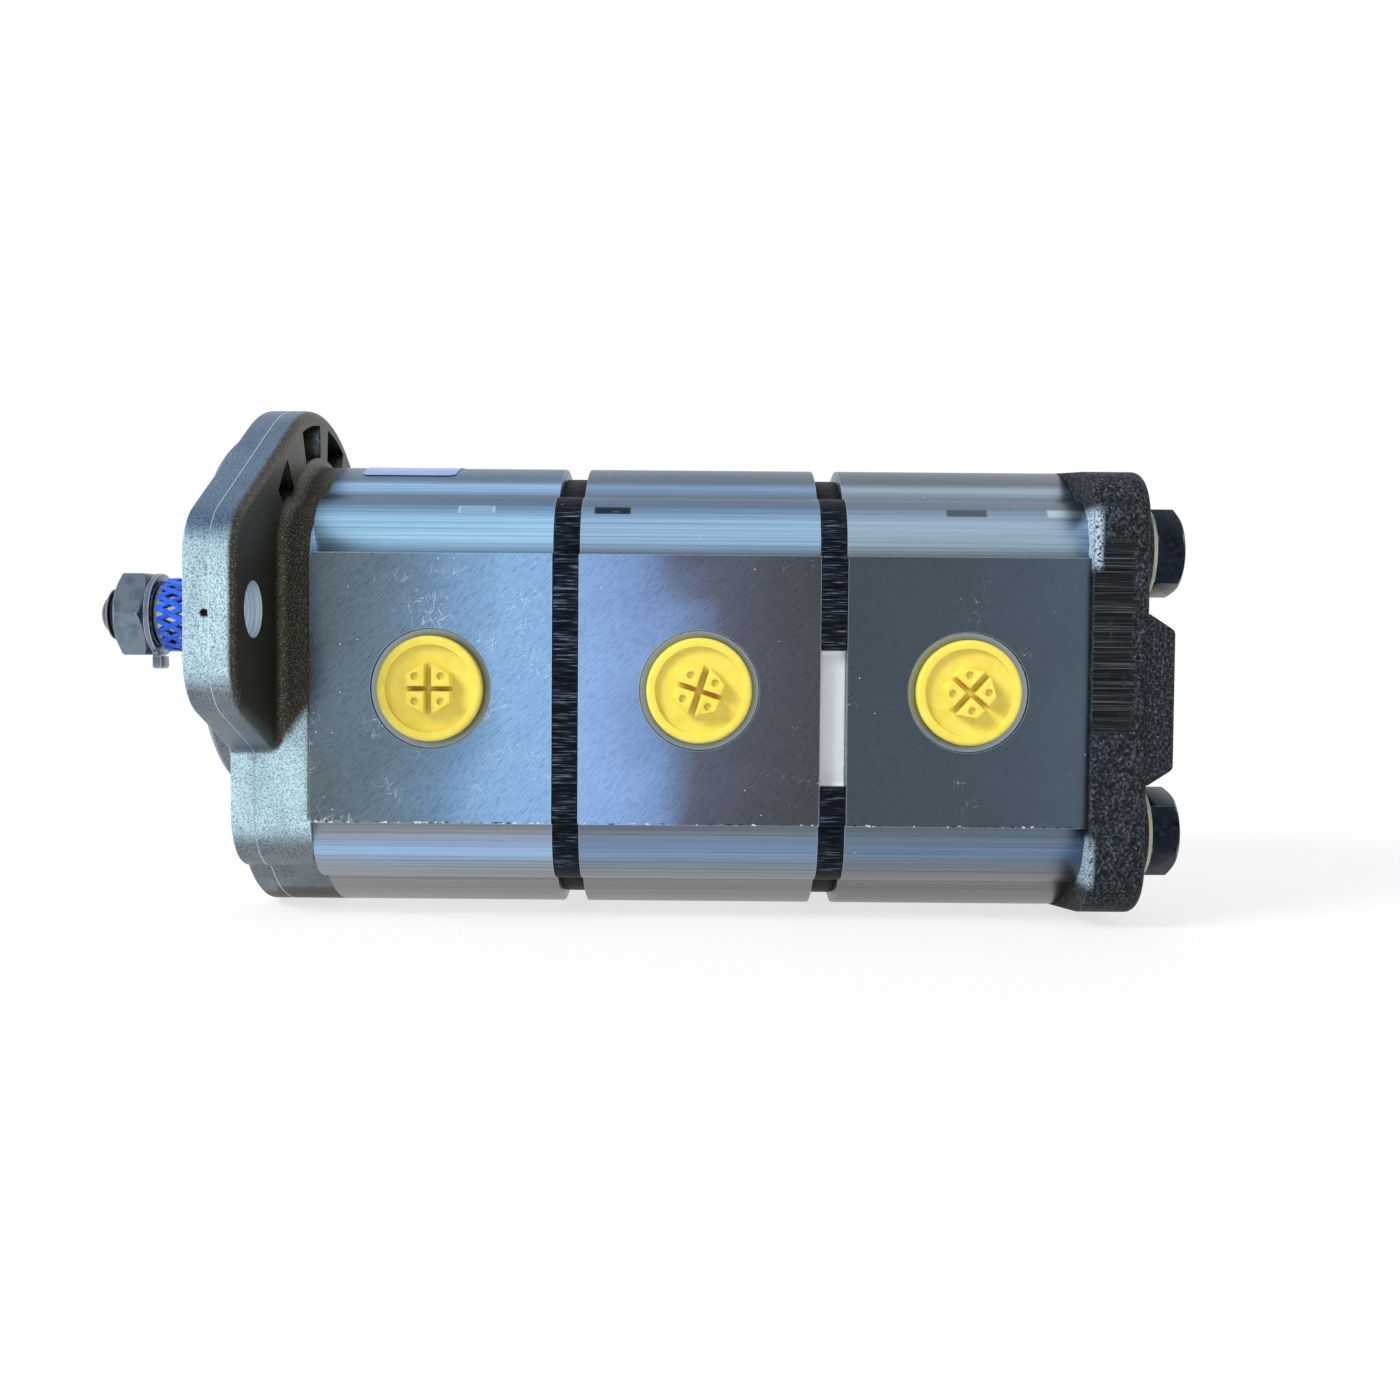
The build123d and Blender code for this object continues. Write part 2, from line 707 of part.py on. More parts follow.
# Intermediate plates between the sections
for number in range(1, section_count):
    plate_start = section_starts[number] - plate_thickness
    with BuildPart() as plate:
        with BuildSketch(across(plate_start)) as outline:
            casing_outline(outline, plate_top_radius, casing_lobe_radius, plate_half_width,
                           pad_half_height, bolt_points)
            Circle(coupling_hole_radius, mode=Mode.SUBTRACT)
            with Locations(*bolt_points):
                Circle(bolt_hole_radius, mode=Mode.SUBTRACT)
            with Locations(*dowel_points):
                Circle(dowel_radius + dowel_gap, mode=Mode.SUBTRACT)
        extrude(amount=plate_thickness)
        if number == 2:
            with BuildSketch(across(plate_start)):
                for side in (-1, 1):
                    with Locations((side * plate_half_width, mid_z + (relief_low + relief_high) / 2)):
                        RectangleRounded(2 * relief_depth, relief_high - relief_low, relief_corner)
            extrude(amount=plate_thickness, mode=Mode.SUBTRACT)
    save(plate, f"intermediate_plate_{number}")


# Rear cover
with BuildPart() as rear_cover:
    with BuildSketch(across(rear_start)):
        gear_circles(casing_top_radius)
        corner_y = rear_half_width - rear_corner_radius
        with Locations((0, mid_z)):
            with GridLocations(2 * corner_y, 2 * rear_corner_z, 2, 2):
                Circle(rear_corner_radius)
        make_hull()
    extrude(amount=rear_cover_thickness)
    fillet(rear_cover.faces().sort_by(Axis.X)[-1].edges(), rear_edge_radius)
    with BuildSketch(across(rear_start + rear_cover_thickness / 2)):
        with Locations(*bolt_points):
            Circle(bolt_land_radius)
    extrude(amount=rear_cover_thickness / 2 + bolt_land_height)
    fillet(rear_cover.faces().filter_by(Axis.X).group_by(Axis.X)[-1].edges(), bolt_land_edge_radius)
    with BuildSketch(Plane.XZ):
        boss_z = mid_z + boss_offset_z
        top_half_height = boss_half_height - boss_slope
        boss_face = rear_face + boss_height
        with BuildLine():
            Polyline((rear_start, boss_z - boss_half_height), (rear_face, boss_z - boss_half_height),
                     (boss_face, boss_z - top_half_height), (boss_face, boss_z + top_half_height),
                     (rear_face, boss_z + boss_half_height), (rear_start, boss_z + boss_half_height),
                     close=True)
        make_face()
    extrude(amount=boss_half_width, both=True)
    fillet(rear_cover.faces().sort_by(Axis.X)[-1].edges(), boss_edge_radius)
    with Locations(across(land_face)):
        with Locations(*bolt_points):
            CounterBoreHole(bolt_hole_radius, bolt_spotface_radius, bolt_spotface_depth,
                            depth=land_face - rear_start)
    with BuildSketch(across(rear_start)):
        with Locations(*dowel_points):
            Circle(dowel_radius + dowel_gap)
    extrude(amount=dowel_depth, mode=Mode.SUBTRACT)
save(rear_cover, "rear_cover")


# Fasteners
with BuildPart() as dowel_pins:
    joints = [(front_cover_depth, front_cover_depth)]
    joints += [(section_starts[i] - plate_thickness, section_starts[i]) for i in range(1, section_count)]
    joints += [(rear_start, rear_start)]
    for low_x, high_x in joints:
        with BuildSketch(across(low_x - dowel_depth + dowel_end_gap)):
            with Locations(*dowel_points):
                Circle(dowel_radius)
        extrude(amount=high_x - low_x + 2 * (dowel_depth - dowel_end_gap))
save(dowel_pins, "dowel_pins")

head_x = bolt_seat + bolt_washer_thickness
bolt_tip_x = front_cover_depth - bolt_thread_depth + bolt_tip_gap


def through_bolt(turn):
    """One long bolt along X, with its head turned by some degrees."""
    with BuildPart() as bolt:
        with BuildSketch(across(head_x)):
            RegularPolygon(bolt_head_flats / 2, 6, major_radius=False, rotation=turn)
        extrude(amount=bolt_head_height)
        with BuildSketch():
            with Locations((head_x, 0)):
                hex_corner_cut(bolt_head_flats, bolt_head_height, False)
        revolve(axis=Axis.X, mode=Mode.SUBTRACT)
        with BuildSketch(across(head_x)):
            Circle(bolt_radius)
        extrude(amount=front_cover_depth - head_x)
        with BuildSketch(across(front_cover_depth)):
            Circle(bolt_thread_hole_radius - press_gap)
        extrude(amount=bolt_tip_x - front_cover_depth)
    return bolt.part


with BuildPart() as through_bolts:
    for (y, z), turn in zip(bolt_points, bolt_head_turns):
        with Locations((0, y, z)):
            add(through_bolt(turn))
save(through_bolts, "through_bolts")

with BuildPart() as bolt_washers:
    with BuildSketch(across(bolt_seat)):
        with Locations(*bolt_points):
            Circle(bolt_washer_radius)
            Circle(bolt_hole_radius, mode=Mode.SUBTRACT)
    extrude(amount=bolt_washer_thickness)
save(bolt_washers, "bolt_washers")


# Port plugs
def plug(x, y, thread, head_radius, turn):
    """A push-in plug: a ribbed stub in the port's thread and a dished head with a four-part grip."""
    outwards = 1 if y > 0 else -1
    seat = port_plane(x, y - outwards * spotface_depth)
    turned_seat = port_plane(x, y - outwards * spotface_depth, turn)
    stub_radius = thread - plug_gap
    with BuildPart() as piece:
        with BuildSketch(seat):
            Circle(head_radius)
        extrude(amount=cap_thickness)
        fillet(piece.faces().sort_by(Axis.Y)[-1 if y > 0 else 0].edges(), cap_edge_radius)
        with BuildSketch(seat.offset(cap_thickness)):
            Circle(head_radius - cap_rim_width)
        extrude(amount=-cap_recess, mode=Mode.SUBTRACT)
        with BuildSketch(seat):
            Circle(stub_radius)
        extrude(amount=-plug_depth)
        for rib in range(1, plug_rib_count + 1):
            with BuildSketch(seat.offset(-rib * plug_depth / (plug_rib_count + 1))):
                Circle(stub_radius + plug_rib_height)
            extrude(amount=-plug_rib_width)
        with BuildSketch(seat):
            Circle(stub_radius - cap_wall)
        extrude(amount=-plug_depth, mode=Mode.SUBTRACT)
        floor = cap_thickness - cap_recess
        with BuildSketch(turned_seat.offset(floor)):
            for across_sign in (-1, 1):
                for up_sign in (-1, 1):
                    half_upright = grip_slot_upright / 2
                    half_level = grip_slot_level / 2
                    lobe = [(half_upright, half_level), (grip_half_width, half_level),
                            (grip_half_width, grip_corner), (half_upright + grip_lobe_flat, grip_half_height),
                            (half_upright, grip_half_height)]
                    points = [(across_sign * u, up_sign * v) for u, v in lobe]
                    if across_sign * up_sign < 0:
                        points.reverse()
                    Polygon(*points, align=None)
        extrude(amount=grip_height, taper=grip_taper)
        with BuildSketch(turned_seat.offset(floor + grip_height)):
            with GridLocations(grip_half_width + grip_slot_upright / 2,
                               grip_half_width + grip_slot_level / 2, 2, 2):
                Circle(dimple_radius)
        extrude(amount=-dimple_depth, mode=Mode.SUBTRACT)
    return piece


for section in range(section_count):
    middle_x = section_starts[section] + section_length / 2
    turn = plug_turns[section % len(plug_turns)]
    outlet_plug = plug(middle_x, -casing_half_width, outlet_thread_radius, outlet_cap_radius, turn)
    save(outlet_plug, f"outlet_plug_{section + 1}")
    inlet_plug = plug(middle_x, casing_half_width, inlet_thread_radius, inlet_cap_radius, turn)
    save(inlet_plug, f"inlet_plug_{section + 1}")


# Label, a thin sheet round the top of the first section
with BuildPart() as label:
    with BuildSketch(across(label_start_x)):
        with BuildLine():
            inner = CenterArc((0, 0), casing_top_radius, label_from, label_to - label_from)
            outer = CenterArc((0, 0), casing_top_radius + label_thickness, label_from, label_to - label_from)
            Line(inner @ 0, outer @ 0)
            Line(inner @ 1, outer @ 1)
        make_face()
    extrude(amount=label_length)
save(label, "label")
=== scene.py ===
# %% [markdown]
# # A gear pump in three sections
# Three pumping sections stand in a row on one drive line, with a cast flange at the shaft's end and a black
# cover at the other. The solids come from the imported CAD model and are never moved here. This script gives
# them their finishes, rounds the edges that a tool or a tumbling drum would round, and adds three pieces
# that are easier to shape by hand: the net on the taper, the film on the first casing and the parting line
# of the front casting.

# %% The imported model
import json
from math import atan2, pi, radians

import bpy
from mathutils import Matrix, Vector

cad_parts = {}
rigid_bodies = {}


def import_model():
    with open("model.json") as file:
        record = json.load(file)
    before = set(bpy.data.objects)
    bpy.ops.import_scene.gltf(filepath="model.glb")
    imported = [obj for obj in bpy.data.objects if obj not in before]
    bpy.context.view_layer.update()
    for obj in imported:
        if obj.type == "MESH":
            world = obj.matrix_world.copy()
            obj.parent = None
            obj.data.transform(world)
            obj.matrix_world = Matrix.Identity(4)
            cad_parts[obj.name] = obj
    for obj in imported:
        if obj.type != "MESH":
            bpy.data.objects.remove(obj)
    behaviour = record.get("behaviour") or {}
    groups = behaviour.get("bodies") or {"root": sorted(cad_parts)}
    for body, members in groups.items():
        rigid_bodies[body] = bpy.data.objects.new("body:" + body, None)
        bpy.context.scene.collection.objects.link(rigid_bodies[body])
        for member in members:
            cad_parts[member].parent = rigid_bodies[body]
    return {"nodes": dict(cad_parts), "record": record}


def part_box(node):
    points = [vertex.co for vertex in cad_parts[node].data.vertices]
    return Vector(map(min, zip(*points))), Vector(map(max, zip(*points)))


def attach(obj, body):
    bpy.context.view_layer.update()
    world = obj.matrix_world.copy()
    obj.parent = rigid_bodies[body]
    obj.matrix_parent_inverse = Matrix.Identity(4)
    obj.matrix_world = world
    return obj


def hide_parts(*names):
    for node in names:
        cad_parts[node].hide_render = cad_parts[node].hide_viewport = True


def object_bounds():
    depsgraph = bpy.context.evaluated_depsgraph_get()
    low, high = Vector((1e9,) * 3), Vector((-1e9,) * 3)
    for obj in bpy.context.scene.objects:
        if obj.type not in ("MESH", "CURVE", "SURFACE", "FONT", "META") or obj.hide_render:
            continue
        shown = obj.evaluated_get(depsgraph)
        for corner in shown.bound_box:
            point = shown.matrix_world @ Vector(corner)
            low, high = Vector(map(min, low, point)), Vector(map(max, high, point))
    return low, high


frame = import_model()
cad_low, cad_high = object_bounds()
MM = 0.001
nodes = frame["nodes"]
print("CAD box in mm:", [round(v / MM, 2) for v in (*cad_low, *cad_high)])
print("CAD nodes:", len(nodes))

# %% [markdown]
# ## Camera
# The photograph was taken straight at the outlet side, a third of a metre away. Its place and lens were
# fitted to the flange, the casings and the bolt heads, so the camera is written as that fit gave it: a place
# in millimetres and three small angles. The lens follows from the focal length in pixels of a 1400 pixel
# wide picture.

# %% Camera
PICTURE_WIDTH = 1400
FOCAL_PIXELS = 1424.81
SENSOR_MM = 36
camera_place = Vector((99.589, -336.876, -7.781)) * MM
camera_yaw = -0.0014
camera_pitch = 0.0336
camera_roll = -0.0082

camera_data = bpy.data.cameras.new("camera")
camera = bpy.data.objects.new("camera", camera_data)
bpy.context.scene.collection.objects.link(camera)
bpy.context.scene.camera = camera
camera_data.sensor_width = SENSOR_MM
camera_data.lens = FOCAL_PIXELS / PICTURE_WIDTH * SENSOR_MM
camera_data.clip_start = 0.01
camera_data.clip_end = 50
turn = Matrix.Rotation(-camera_yaw, 4, "Z")
turn = turn @ Matrix.Rotation(pi / 2 - camera_pitch, 4, "X")
turn = turn @ Matrix.Rotation(-camera_roll, 4, "Z")
camera.matrix_world = Matrix.Translation(camera_place) @ turn
bpy.context.scene.view_settings.view_transform = "Standard"
print("lens in mm:", round(camera_data.lens, 2))

# %% [markdown]
# ## Nodes and colours
# Every finish here is a network of nodes. One function adds a node, sets its values and links it, so that a
# finish reads as a list of steps. Another turns the hex colours that people pick on a screen into the linear
# values that the renderer works with.

# %% Nodes and colours
MIX_COLOURS = {"data_type": "RGBA"}
MULTIPLY_COLOURS = {"data_type": "RGBA", "blend_type": "MULTIPLY"}
MIX_FACTOR, MIX_FIRST, MIX_SECOND, MIXED = 0, 6, 7, 2


def shade(text):
    """An sRGB hex colour as linear red, green, blue and alpha."""
    values = [int(text[i:i + 2], 16) / 255 for i in (1, 3, 5)]
    linear = [v / 12.92 if v <= 0.04045 else ((v + 0.055) / 1.055) ** 2.4 for v in values]
    return (*linear, 1.0)


def add_node(tree, kind, settings=None, inputs=None, stops=None):
    """Add a node with its settings, its values or links, and its colour stops if it has any."""
    node = tree.nodes.new(kind)
    for name, value in (settings or {}).items():
        setattr(node, name, value)
    for name, value in (inputs or {}).items():
        if isinstance(value, bpy.types.NodeSocket):
            tree.links.new(value, node.inputs[name])
        else:
            node.inputs[name].default_value = value
    if stops:
        elements = node.color_ramp.elements
        while len(elements) < len(stops):
            elements.new(1.0)
        for element, (position, colour) in zip(elements, stops):
            element.position = position
            element.color = shade(colour)
    return node


print("mid grey is", round(shade("#808080")[0], 3), "in linear light")

# %% [markdown]
# ## Light
# A pump like this is shown on white under a large soft window. The world is plain white for the camera and
# for reflections, a little dimmer high up, where a room has its ceiling, and it lights the pump at less than
# full strength so that soft lamps can give it form. Together they light a surface that faces the camera at
# about one, so a colour renders about as it is written. The lamps themselves don't show in reflections: bare
# metal would turn white there, and the plain white room already gives it something to reflect.

# %% World
WORLD_LIGHT = 0.48


def seen_by_eye(tree):
    """1 for what is looked at, straight, through a clear thing or mirrored, and 1 for what is mirrored."""
    ray = add_node(tree, "ShaderNodeLightPath").outputs
    straight = add_node(tree, "ShaderNodeMath", {"operation": "MAXIMUM"},
                        {0: ray["Is Camera Ray"], 1: ray["Is Transmission Ray"]}).outputs[0]
    seen = add_node(tree, "ShaderNodeMath", {"operation": "MAXIMUM"},
                    {0: straight, 1: ray["Is Glossy Ray"]}).outputs[0]
    return seen, ray["Is Glossy Ray"]


world = bpy.data.worlds.new("white_room")
bpy.context.scene.world = world
world.use_nodes = True
room = world.node_tree
room.nodes.clear()
seen, mirrored = seen_by_eye(room)
direction = add_node(room, "ShaderNodeTexCoord").outputs["Generated"]
upward = add_node(room, "ShaderNodeSeparateXYZ", {}, {"Vector": direction}).outputs["Z"]
ceiling = add_node(room, "ShaderNodeValToRGB", {}, {"Fac": upward},
                   stops=[(0.0, "#ffffff"), (0.3, "#fdfeff"), (0.75, "#f0f3f7"), (1.0, "#e6eaf0")])
reflected = add_node(room, "ShaderNodeMix", MIX_COLOURS,
                     {MIX_FACTOR: mirrored, MIX_FIRST: shade("#ffffff"),
                      MIX_SECOND: ceiling.outputs["Color"]}).outputs[MIXED]
shown = add_node(room, "ShaderNodeBackground", {}, {"Color": reflected, "Strength": 1.0})
lighting = add_node(room, "ShaderNodeBackground", {}, {"Color": shade("#f2f6ff"), "Strength": WORLD_LIGHT})
both = add_node(room, "ShaderNodeMixShader", {}, {0: seen, 1: lighting.outputs[0], 2: shown.outputs[0]})
add_node(room, "ShaderNodeOutputWorld", {}, {"Surface": both.outputs[0]})
print("world strength for plain light:", WORLD_LIGHT)

# %% Lamps
pump_middle = (cad_low + cad_high) / 2


def soft_lamp(name, place, size, watts, colour):
    """A square soft lamp in metres that points at the middle of the pump and leaves no glare on metal."""
    data = bpy.data.lights.new(name, "AREA")
    data.size = size
    data.energy = watts
    data.color = shade(colour)[:3]
    lamp = bpy.data.objects.new(name, data)
    bpy.context.scene.collection.objects.link(lamp)
    lamp.visible_glossy = False
    lamp.location = place
    lamp.rotation_mode = "QUATERNION"
    lamp.rotation_quaternion = (pump_middle - Vector(place)).to_track_quat("-Z", "Y")
    return lamp


window = soft_lamp("window", (-0.85, -0.75, 0.75), 0.5, 23.0, "#f4f9ff")
fill = soft_lamp("fill", (0.95, -0.6, 0.75), 0.8, 3.5, "#fff8f0")
back = soft_lamp("back", (0.3, 1.1, 0.7), 0.8, 8.0, "#f6f9ff")
print("lamps:", [lamp.name for lamp in (window, fill, back)])

# %% [markdown]
# ## Floor
# The casings stand on a pale floor. A plain white plane would show its edge against the background, so this
# is a disc that fades out at its rim and gives most of its brightness itself wherever it is looked at. The
# rest of its brightness is real light, so the pump keeps its soft shadow. It isn't part of the pump.

# %% Floor
FLOOR_RADIUS = 1.5
FLOOR_MIDDLE_X = 0.08
FLOOR_GAP_MM = 0.05
FLOOR_OWN_WHITE = 0.72
FLOOR_FADE_FROM, FLOOR_FADE_TO = 0.35, 1.2


def new_finish(name, metallic, roughness):
    """An empty material with its main shader, to which patterns are added."""
    material = bpy.data.materials.new(name)
    material.use_nodes = True
    tree = material.node_tree
    tree.nodes.clear()
    shader = add_node(tree, "ShaderNodeBsdfPrincipled", {}, {"Metallic": metallic, "Roughness": roughness})
    add_node(tree, "ShaderNodeOutputMaterial", {}, {"Surface": shader.outputs[0]})
    return material, tree, shader


def deselect_all():
    """Leave edit mode and select nothing, so that the next operator acts on its own piece only."""
    if bpy.context.object and bpy.context.object.mode != "OBJECT":
        bpy.ops.object.mode_set(mode="OBJECT")
    bpy.ops.object.select_all(action="DESELECT")


deselect_all()
bpy.ops.mesh.primitive_circle_add(vertices=96, radius=FLOOR_RADIUS, fill_type="NGON",
                                  location=(FLOOR_MIDDLE_X, 0.0, cad_low.z - FLOOR_GAP_MM * MM))
floor = bpy.context.object
floor.name = "floor"
bpy.ops.object.transform_apply(location=True, rotation=True, scale=True)
floor_finish, tree, shader = new_finish("pale_floor", 0.0, 0.75)
surface = shader.outputs[0].links[0].to_socket
place = add_node(tree, "ShaderNodeTexCoord").outputs["Object"]
grit = add_node(tree, "ShaderNodeTexNoise", {}, {"Vector": place, "Scale": 60.0}).outputs["Fac"]
paint = add_node(tree, "ShaderNodeValToRGB", {}, {"Fac": grit}, stops=[(0.0, "#efefee"), (1.0, "#f6f6f5")])
tree.links.new(paint.outputs["Color"], shader.inputs["Base Color"])
seen = seen_by_eye(tree)[0]
lit_white = add_node(tree, "ShaderNodeEmission", {}, {"Color": shade("#ffffff"), "Strength": 1.0})
share = add_node(tree, "ShaderNodeMath", {"operation": "MULTIPLY"}, {0: seen, 1: FLOOR_OWN_WHITE}).outputs[0]
pale = add_node(tree, "ShaderNodeMixShader", {}, {0: share, 1: shader.outputs[0], 2: lit_white.outputs[0]})
clear = add_node(tree, "ShaderNodeBsdfTransparent")
distance = add_node(tree, "ShaderNodeVectorMath", {"operation": "LENGTH"}, {0: place}).outputs["Value"]
fade = add_node(tree, "ShaderNodeMapRange", {"interpolation_type": "SMOOTHSTEP"},
                {"Value": distance, "From Min": FLOOR_FADE_FROM, "From Max": FLOOR_FADE_TO}).outputs[0]
faded = add_node(tree, "ShaderNodeMixShader", {}, {0: fade, 1: pale.outputs[0], 2: clear.outputs[0]})
tree.links.new(faded.outputs[0], surface)
floor.data.materials.append(floor_finish)
print("floor at z", round(floor.data.vertices[0].co.z / MM, 2), "mm")

# %% [markdown]
# ## Patterns that several finishes share
# Real surfaces show how they were made: a die leaves long streaks, a cutter leaves arcs, sand leaves grain,
# and handling leaves scratches and specks. Pictures of such marks would repeat and blur from near. So each
# helper below makes one of them from the place on the piece in metres, with its size given in millimetres,
# and a pattern keeps its true scale on every piece. The others combine them: as masks, which are 1 where a
# mark is and 0 elsewhere, as tones that multiply a colour, and as paint over it.

# %% Patterns
def where_on(tree):
    """The place on the piece as a vector, the same as X, Y and Z, and the direction that it faces."""
    coordinates = add_node(tree, "ShaderNodeTexCoord").outputs
    place = add_node(tree, "ShaderNodeSeparateXYZ", {}, {"Vector": coordinates["Object"]}).outputs
    facing = add_node(tree, "ShaderNodeSeparateXYZ", {}, {"Vector": coordinates["Normal"]}).outputs
    return coordinates["Object"], place, facing


def streaks(tree, vector, lengths_mm, detail=2.0, turned=(0, 0, 0)):
    """Uneven tone in patches as long as given along X, Y and Z: long and thin ones look drawn."""
    scaled = add_node(tree, "ShaderNodeMapping", {}, {"Vector": vector, "Rotation": turned})
    scaled = add_node(tree, "ShaderNodeMapping", {}, {"Vector": scaled.outputs[0],
                                                      "Scale": [1 / (length * MM) for length in lengths_mm]})
    return add_node(tree, "ShaderNodeTexNoise", {},
                    {"Vector": scaled.outputs[0], "Scale": 1.0, "Detail": detail}).outputs["Fac"]


print("a pattern reads Object coordinates in metres, and 1 mm is", MM)

# %% Masks
def over(tree, value, low, high):
    """0 below low and 1 above high, with a smooth step between; low may be the larger one."""
    return add_node(tree, "ShaderNodeMapRange", {"interpolation_type": "SMOOTHSTEP"},
                    {"Value": value, "From Min": low, "From Max": high}).outputs[0]


def past(tree, value, low_mm, high_mm):
    """The same for a coordinate and places in millimetres."""
    return over(tree, value, low_mm * MM, high_mm * MM)


def within(tree, value, low_mm, high_mm, soft_mm=0.3):
    """1 where a coordinate lies between two places in millimetres, and 0 elsewhere."""
    middle = (low_mm + high_mm) / 2 * MM
    half = (high_mm - low_mm) / 2 * MM
    offset = add_node(tree, "ShaderNodeMath", {"operation": "SUBTRACT"}, {0: value, 1: middle}).outputs[0]
    away = add_node(tree, "ShaderNodeMath", {"operation": "ABSOLUTE"}, {0: offset}).outputs[0]
    return over(tree, away, half + soft_mm * MM / 2, half - soft_mm * MM / 2)


def all_of(tree, first, *others):
    """1 only where every mask is 1: the product of them all."""
    for other in others:
        first = add_node(tree, "ShaderNodeMath", {"operation": "MULTIPLY"}, {0: first, 1: other}).outputs[0]
    return first


print("a mask is 1 where a mark is, and 0 elsewhere")

# %% Marks
SPECK_SOFTNESS = 0.6


def specks(tree, vector, spacing_mm, radius_mm, share):
    """Small round specks, one in some of the cells of a loose grid."""
    cells = add_node(tree, "ShaderNodeTexVoronoi", {},
                     {"Vector": vector, "Scale": 1 / (spacing_mm * MM)}).outputs
    chance = add_node(tree, "ShaderNodeSeparateColor", {}, {"Color": cells["Color"]}).outputs["Red"]
    reach = radius_mm / spacing_mm
    near = over(tree, cells["Distance"], reach, reach * SPECK_SOFTNESS)
    return all_of(tree, near, over(tree, chance, 1 - share, 1 - share + 0.02))


def scratches(tree, vector, length_mm, width_mm, turned, threshold):
    """Thin scratches in one direction across a side of the pump."""
    lines = streaks(tree, vector, (length_mm, length_mm, width_mm), 1.0, (0, turned, 0))
    return over(tree, lines, threshold, threshold + 0.04)


def worn_edges(tree, radius_mm):
    """1 on sharp edges, where a normal that is rounded over the radius leaves the true one."""
    rounded = add_node(tree, "ShaderNodeBevel", {"samples": 6}, {"Radius": radius_mm * MM}).outputs[0]
    true = add_node(tree, "ShaderNodeNewGeometry").outputs["Normal"]
    dot = add_node(tree, "ShaderNodeVectorMath", {"operation": "DOT_PRODUCT"}, {0: rounded, 1: true})
    return over(tree, dot.outputs["Value"], 0.985, 0.9)


print("marks: specks, scratches and worn edges")

# %% Colour and relief
def paint_over(tree, mask, under, colour):
    """One colour, or the colour from a node, laid over another where the mask is 1."""
    top = colour if isinstance(colour, bpy.types.NodeSocket) else shade(colour)
    return add_node(tree, "ShaderNodeMix", MIX_COLOURS,
                    {MIX_FACTOR: mask, MIX_FIRST: under, MIX_SECOND: top}).outputs[MIXED]


def toned(tree, colour, pattern, stops):
    """A colour times the tone that a pattern picks from the stops."""
    tone = add_node(tree, "ShaderNodeValToRGB", {}, {"Fac": pattern}, stops=stops).outputs["Color"]
    return add_node(tree, "ShaderNodeMix", MULTIPLY_COLOURS,
                    {MIX_FACTOR: 1.0, MIX_FIRST: colour, MIX_SECOND: tone}).outputs[MIXED]


def cover_with(tree, shader, colour, height, strength, depth_mm):
    """Give the surface its colour, and a relief as deep as given from the height of a pattern."""
    tree.links.new(colour, shader.inputs["Base Color"])
    relief = add_node(tree, "ShaderNodeBump", {},
                      {"Strength": strength, "Distance": depth_mm * MM, "Height": height})
    tree.links.new(relief.outputs[0], shader.inputs["Normal"])


print("a finish ends with its colour and its relief")

# %% [markdown]
# ## Extruded aluminium with milled pads
# The three casings are sawn from one long extrusion. Its skin is bare aluminium with fine streaks along its
# length, under bands of painted reflection and shade over its height. The flat pads were milled afterwards:
# they carry the arcs of the cutter, brushed streaks, nicks and specks, and a broken line of burr low down,
# over tones of painted reflection along each pad. The recess round each port is greyer, and a few short
# places on the upper lobes are worn. The pads could have their own material on their own faces, but one
# material that tells pad from skin by how far out a place lies is simpler. All three casings share it and
# differ in their painted reflection, bright on the first casing and dark on the third.

# %% The skin: die streaks and painted reflection bands
BODY_LOW_MM, BODY_HIGH_MM = -66.35, 34.6
BAND_HEIGHTS_MM = (-66.3, -58.0, -54.0, -50.5, -46.0, 13.0, 16.0, 20.0, 23.5, 25.6, 27.3, 28.8, 30.0, 34.6)
SKIN_STREAK_MM = (160, 0.35, 0.35)


def skin_with_painted_bands(tree, vector, place, bands):
    """Bands of painted reflection and shade over the height, under fine die streaks, and the streaks."""
    height = add_node(tree, "ShaderNodeMapRange", {},
                      {"Value": place["Z"], "From Min": BODY_LOW_MM * MM, "From Max": BODY_HIGH_MM * MM})
    span = BODY_HIGH_MM - BODY_LOW_MM
    stops = [((band_mm - BODY_LOW_MM) / span, tone) for band_mm, tone in zip(BAND_HEIGHTS_MM, bands)]
    skin = add_node(tree, "ShaderNodeValToRGB", {}, {"Fac": height.outputs[0]}, stops=stops).outputs["Color"]
    fine = streaks(tree, vector, SKIN_STREAK_MM, 3.0)
    skin = toned(tree, skin, fine, [(0.34, "#cdd2d7"), (0.5, "#f0f2f3"), (0.64, "#ffffff")])
    return paint_over(tree, specks(tree, vector, 2.6, 0.17, 0.16), skin, "#e6edf2"), fine


print("casings are", round(BODY_HIGH_MM - BODY_LOW_MM, 2), "mm high")

# %% The milled pads
SECTION_STARTS_MM = (17.0, 73.5, 130.0)
SECTION_LENGTH_MM = 51.0
ARC_SPACING_MM = 0.55
WAVE_AT_SCALE_ONE = 2 * pi / 20
BRUSH_STREAK_MM = (1.5, 1.5, 0.22)
BRUSH_TURN = (0, 0.75, 0)
NICK_WIDTH_MM = 0.15
NICKS = ((4.5, 0.5), (3.0, -1.1), (6.0, 1.45), (2.2, 0.1))


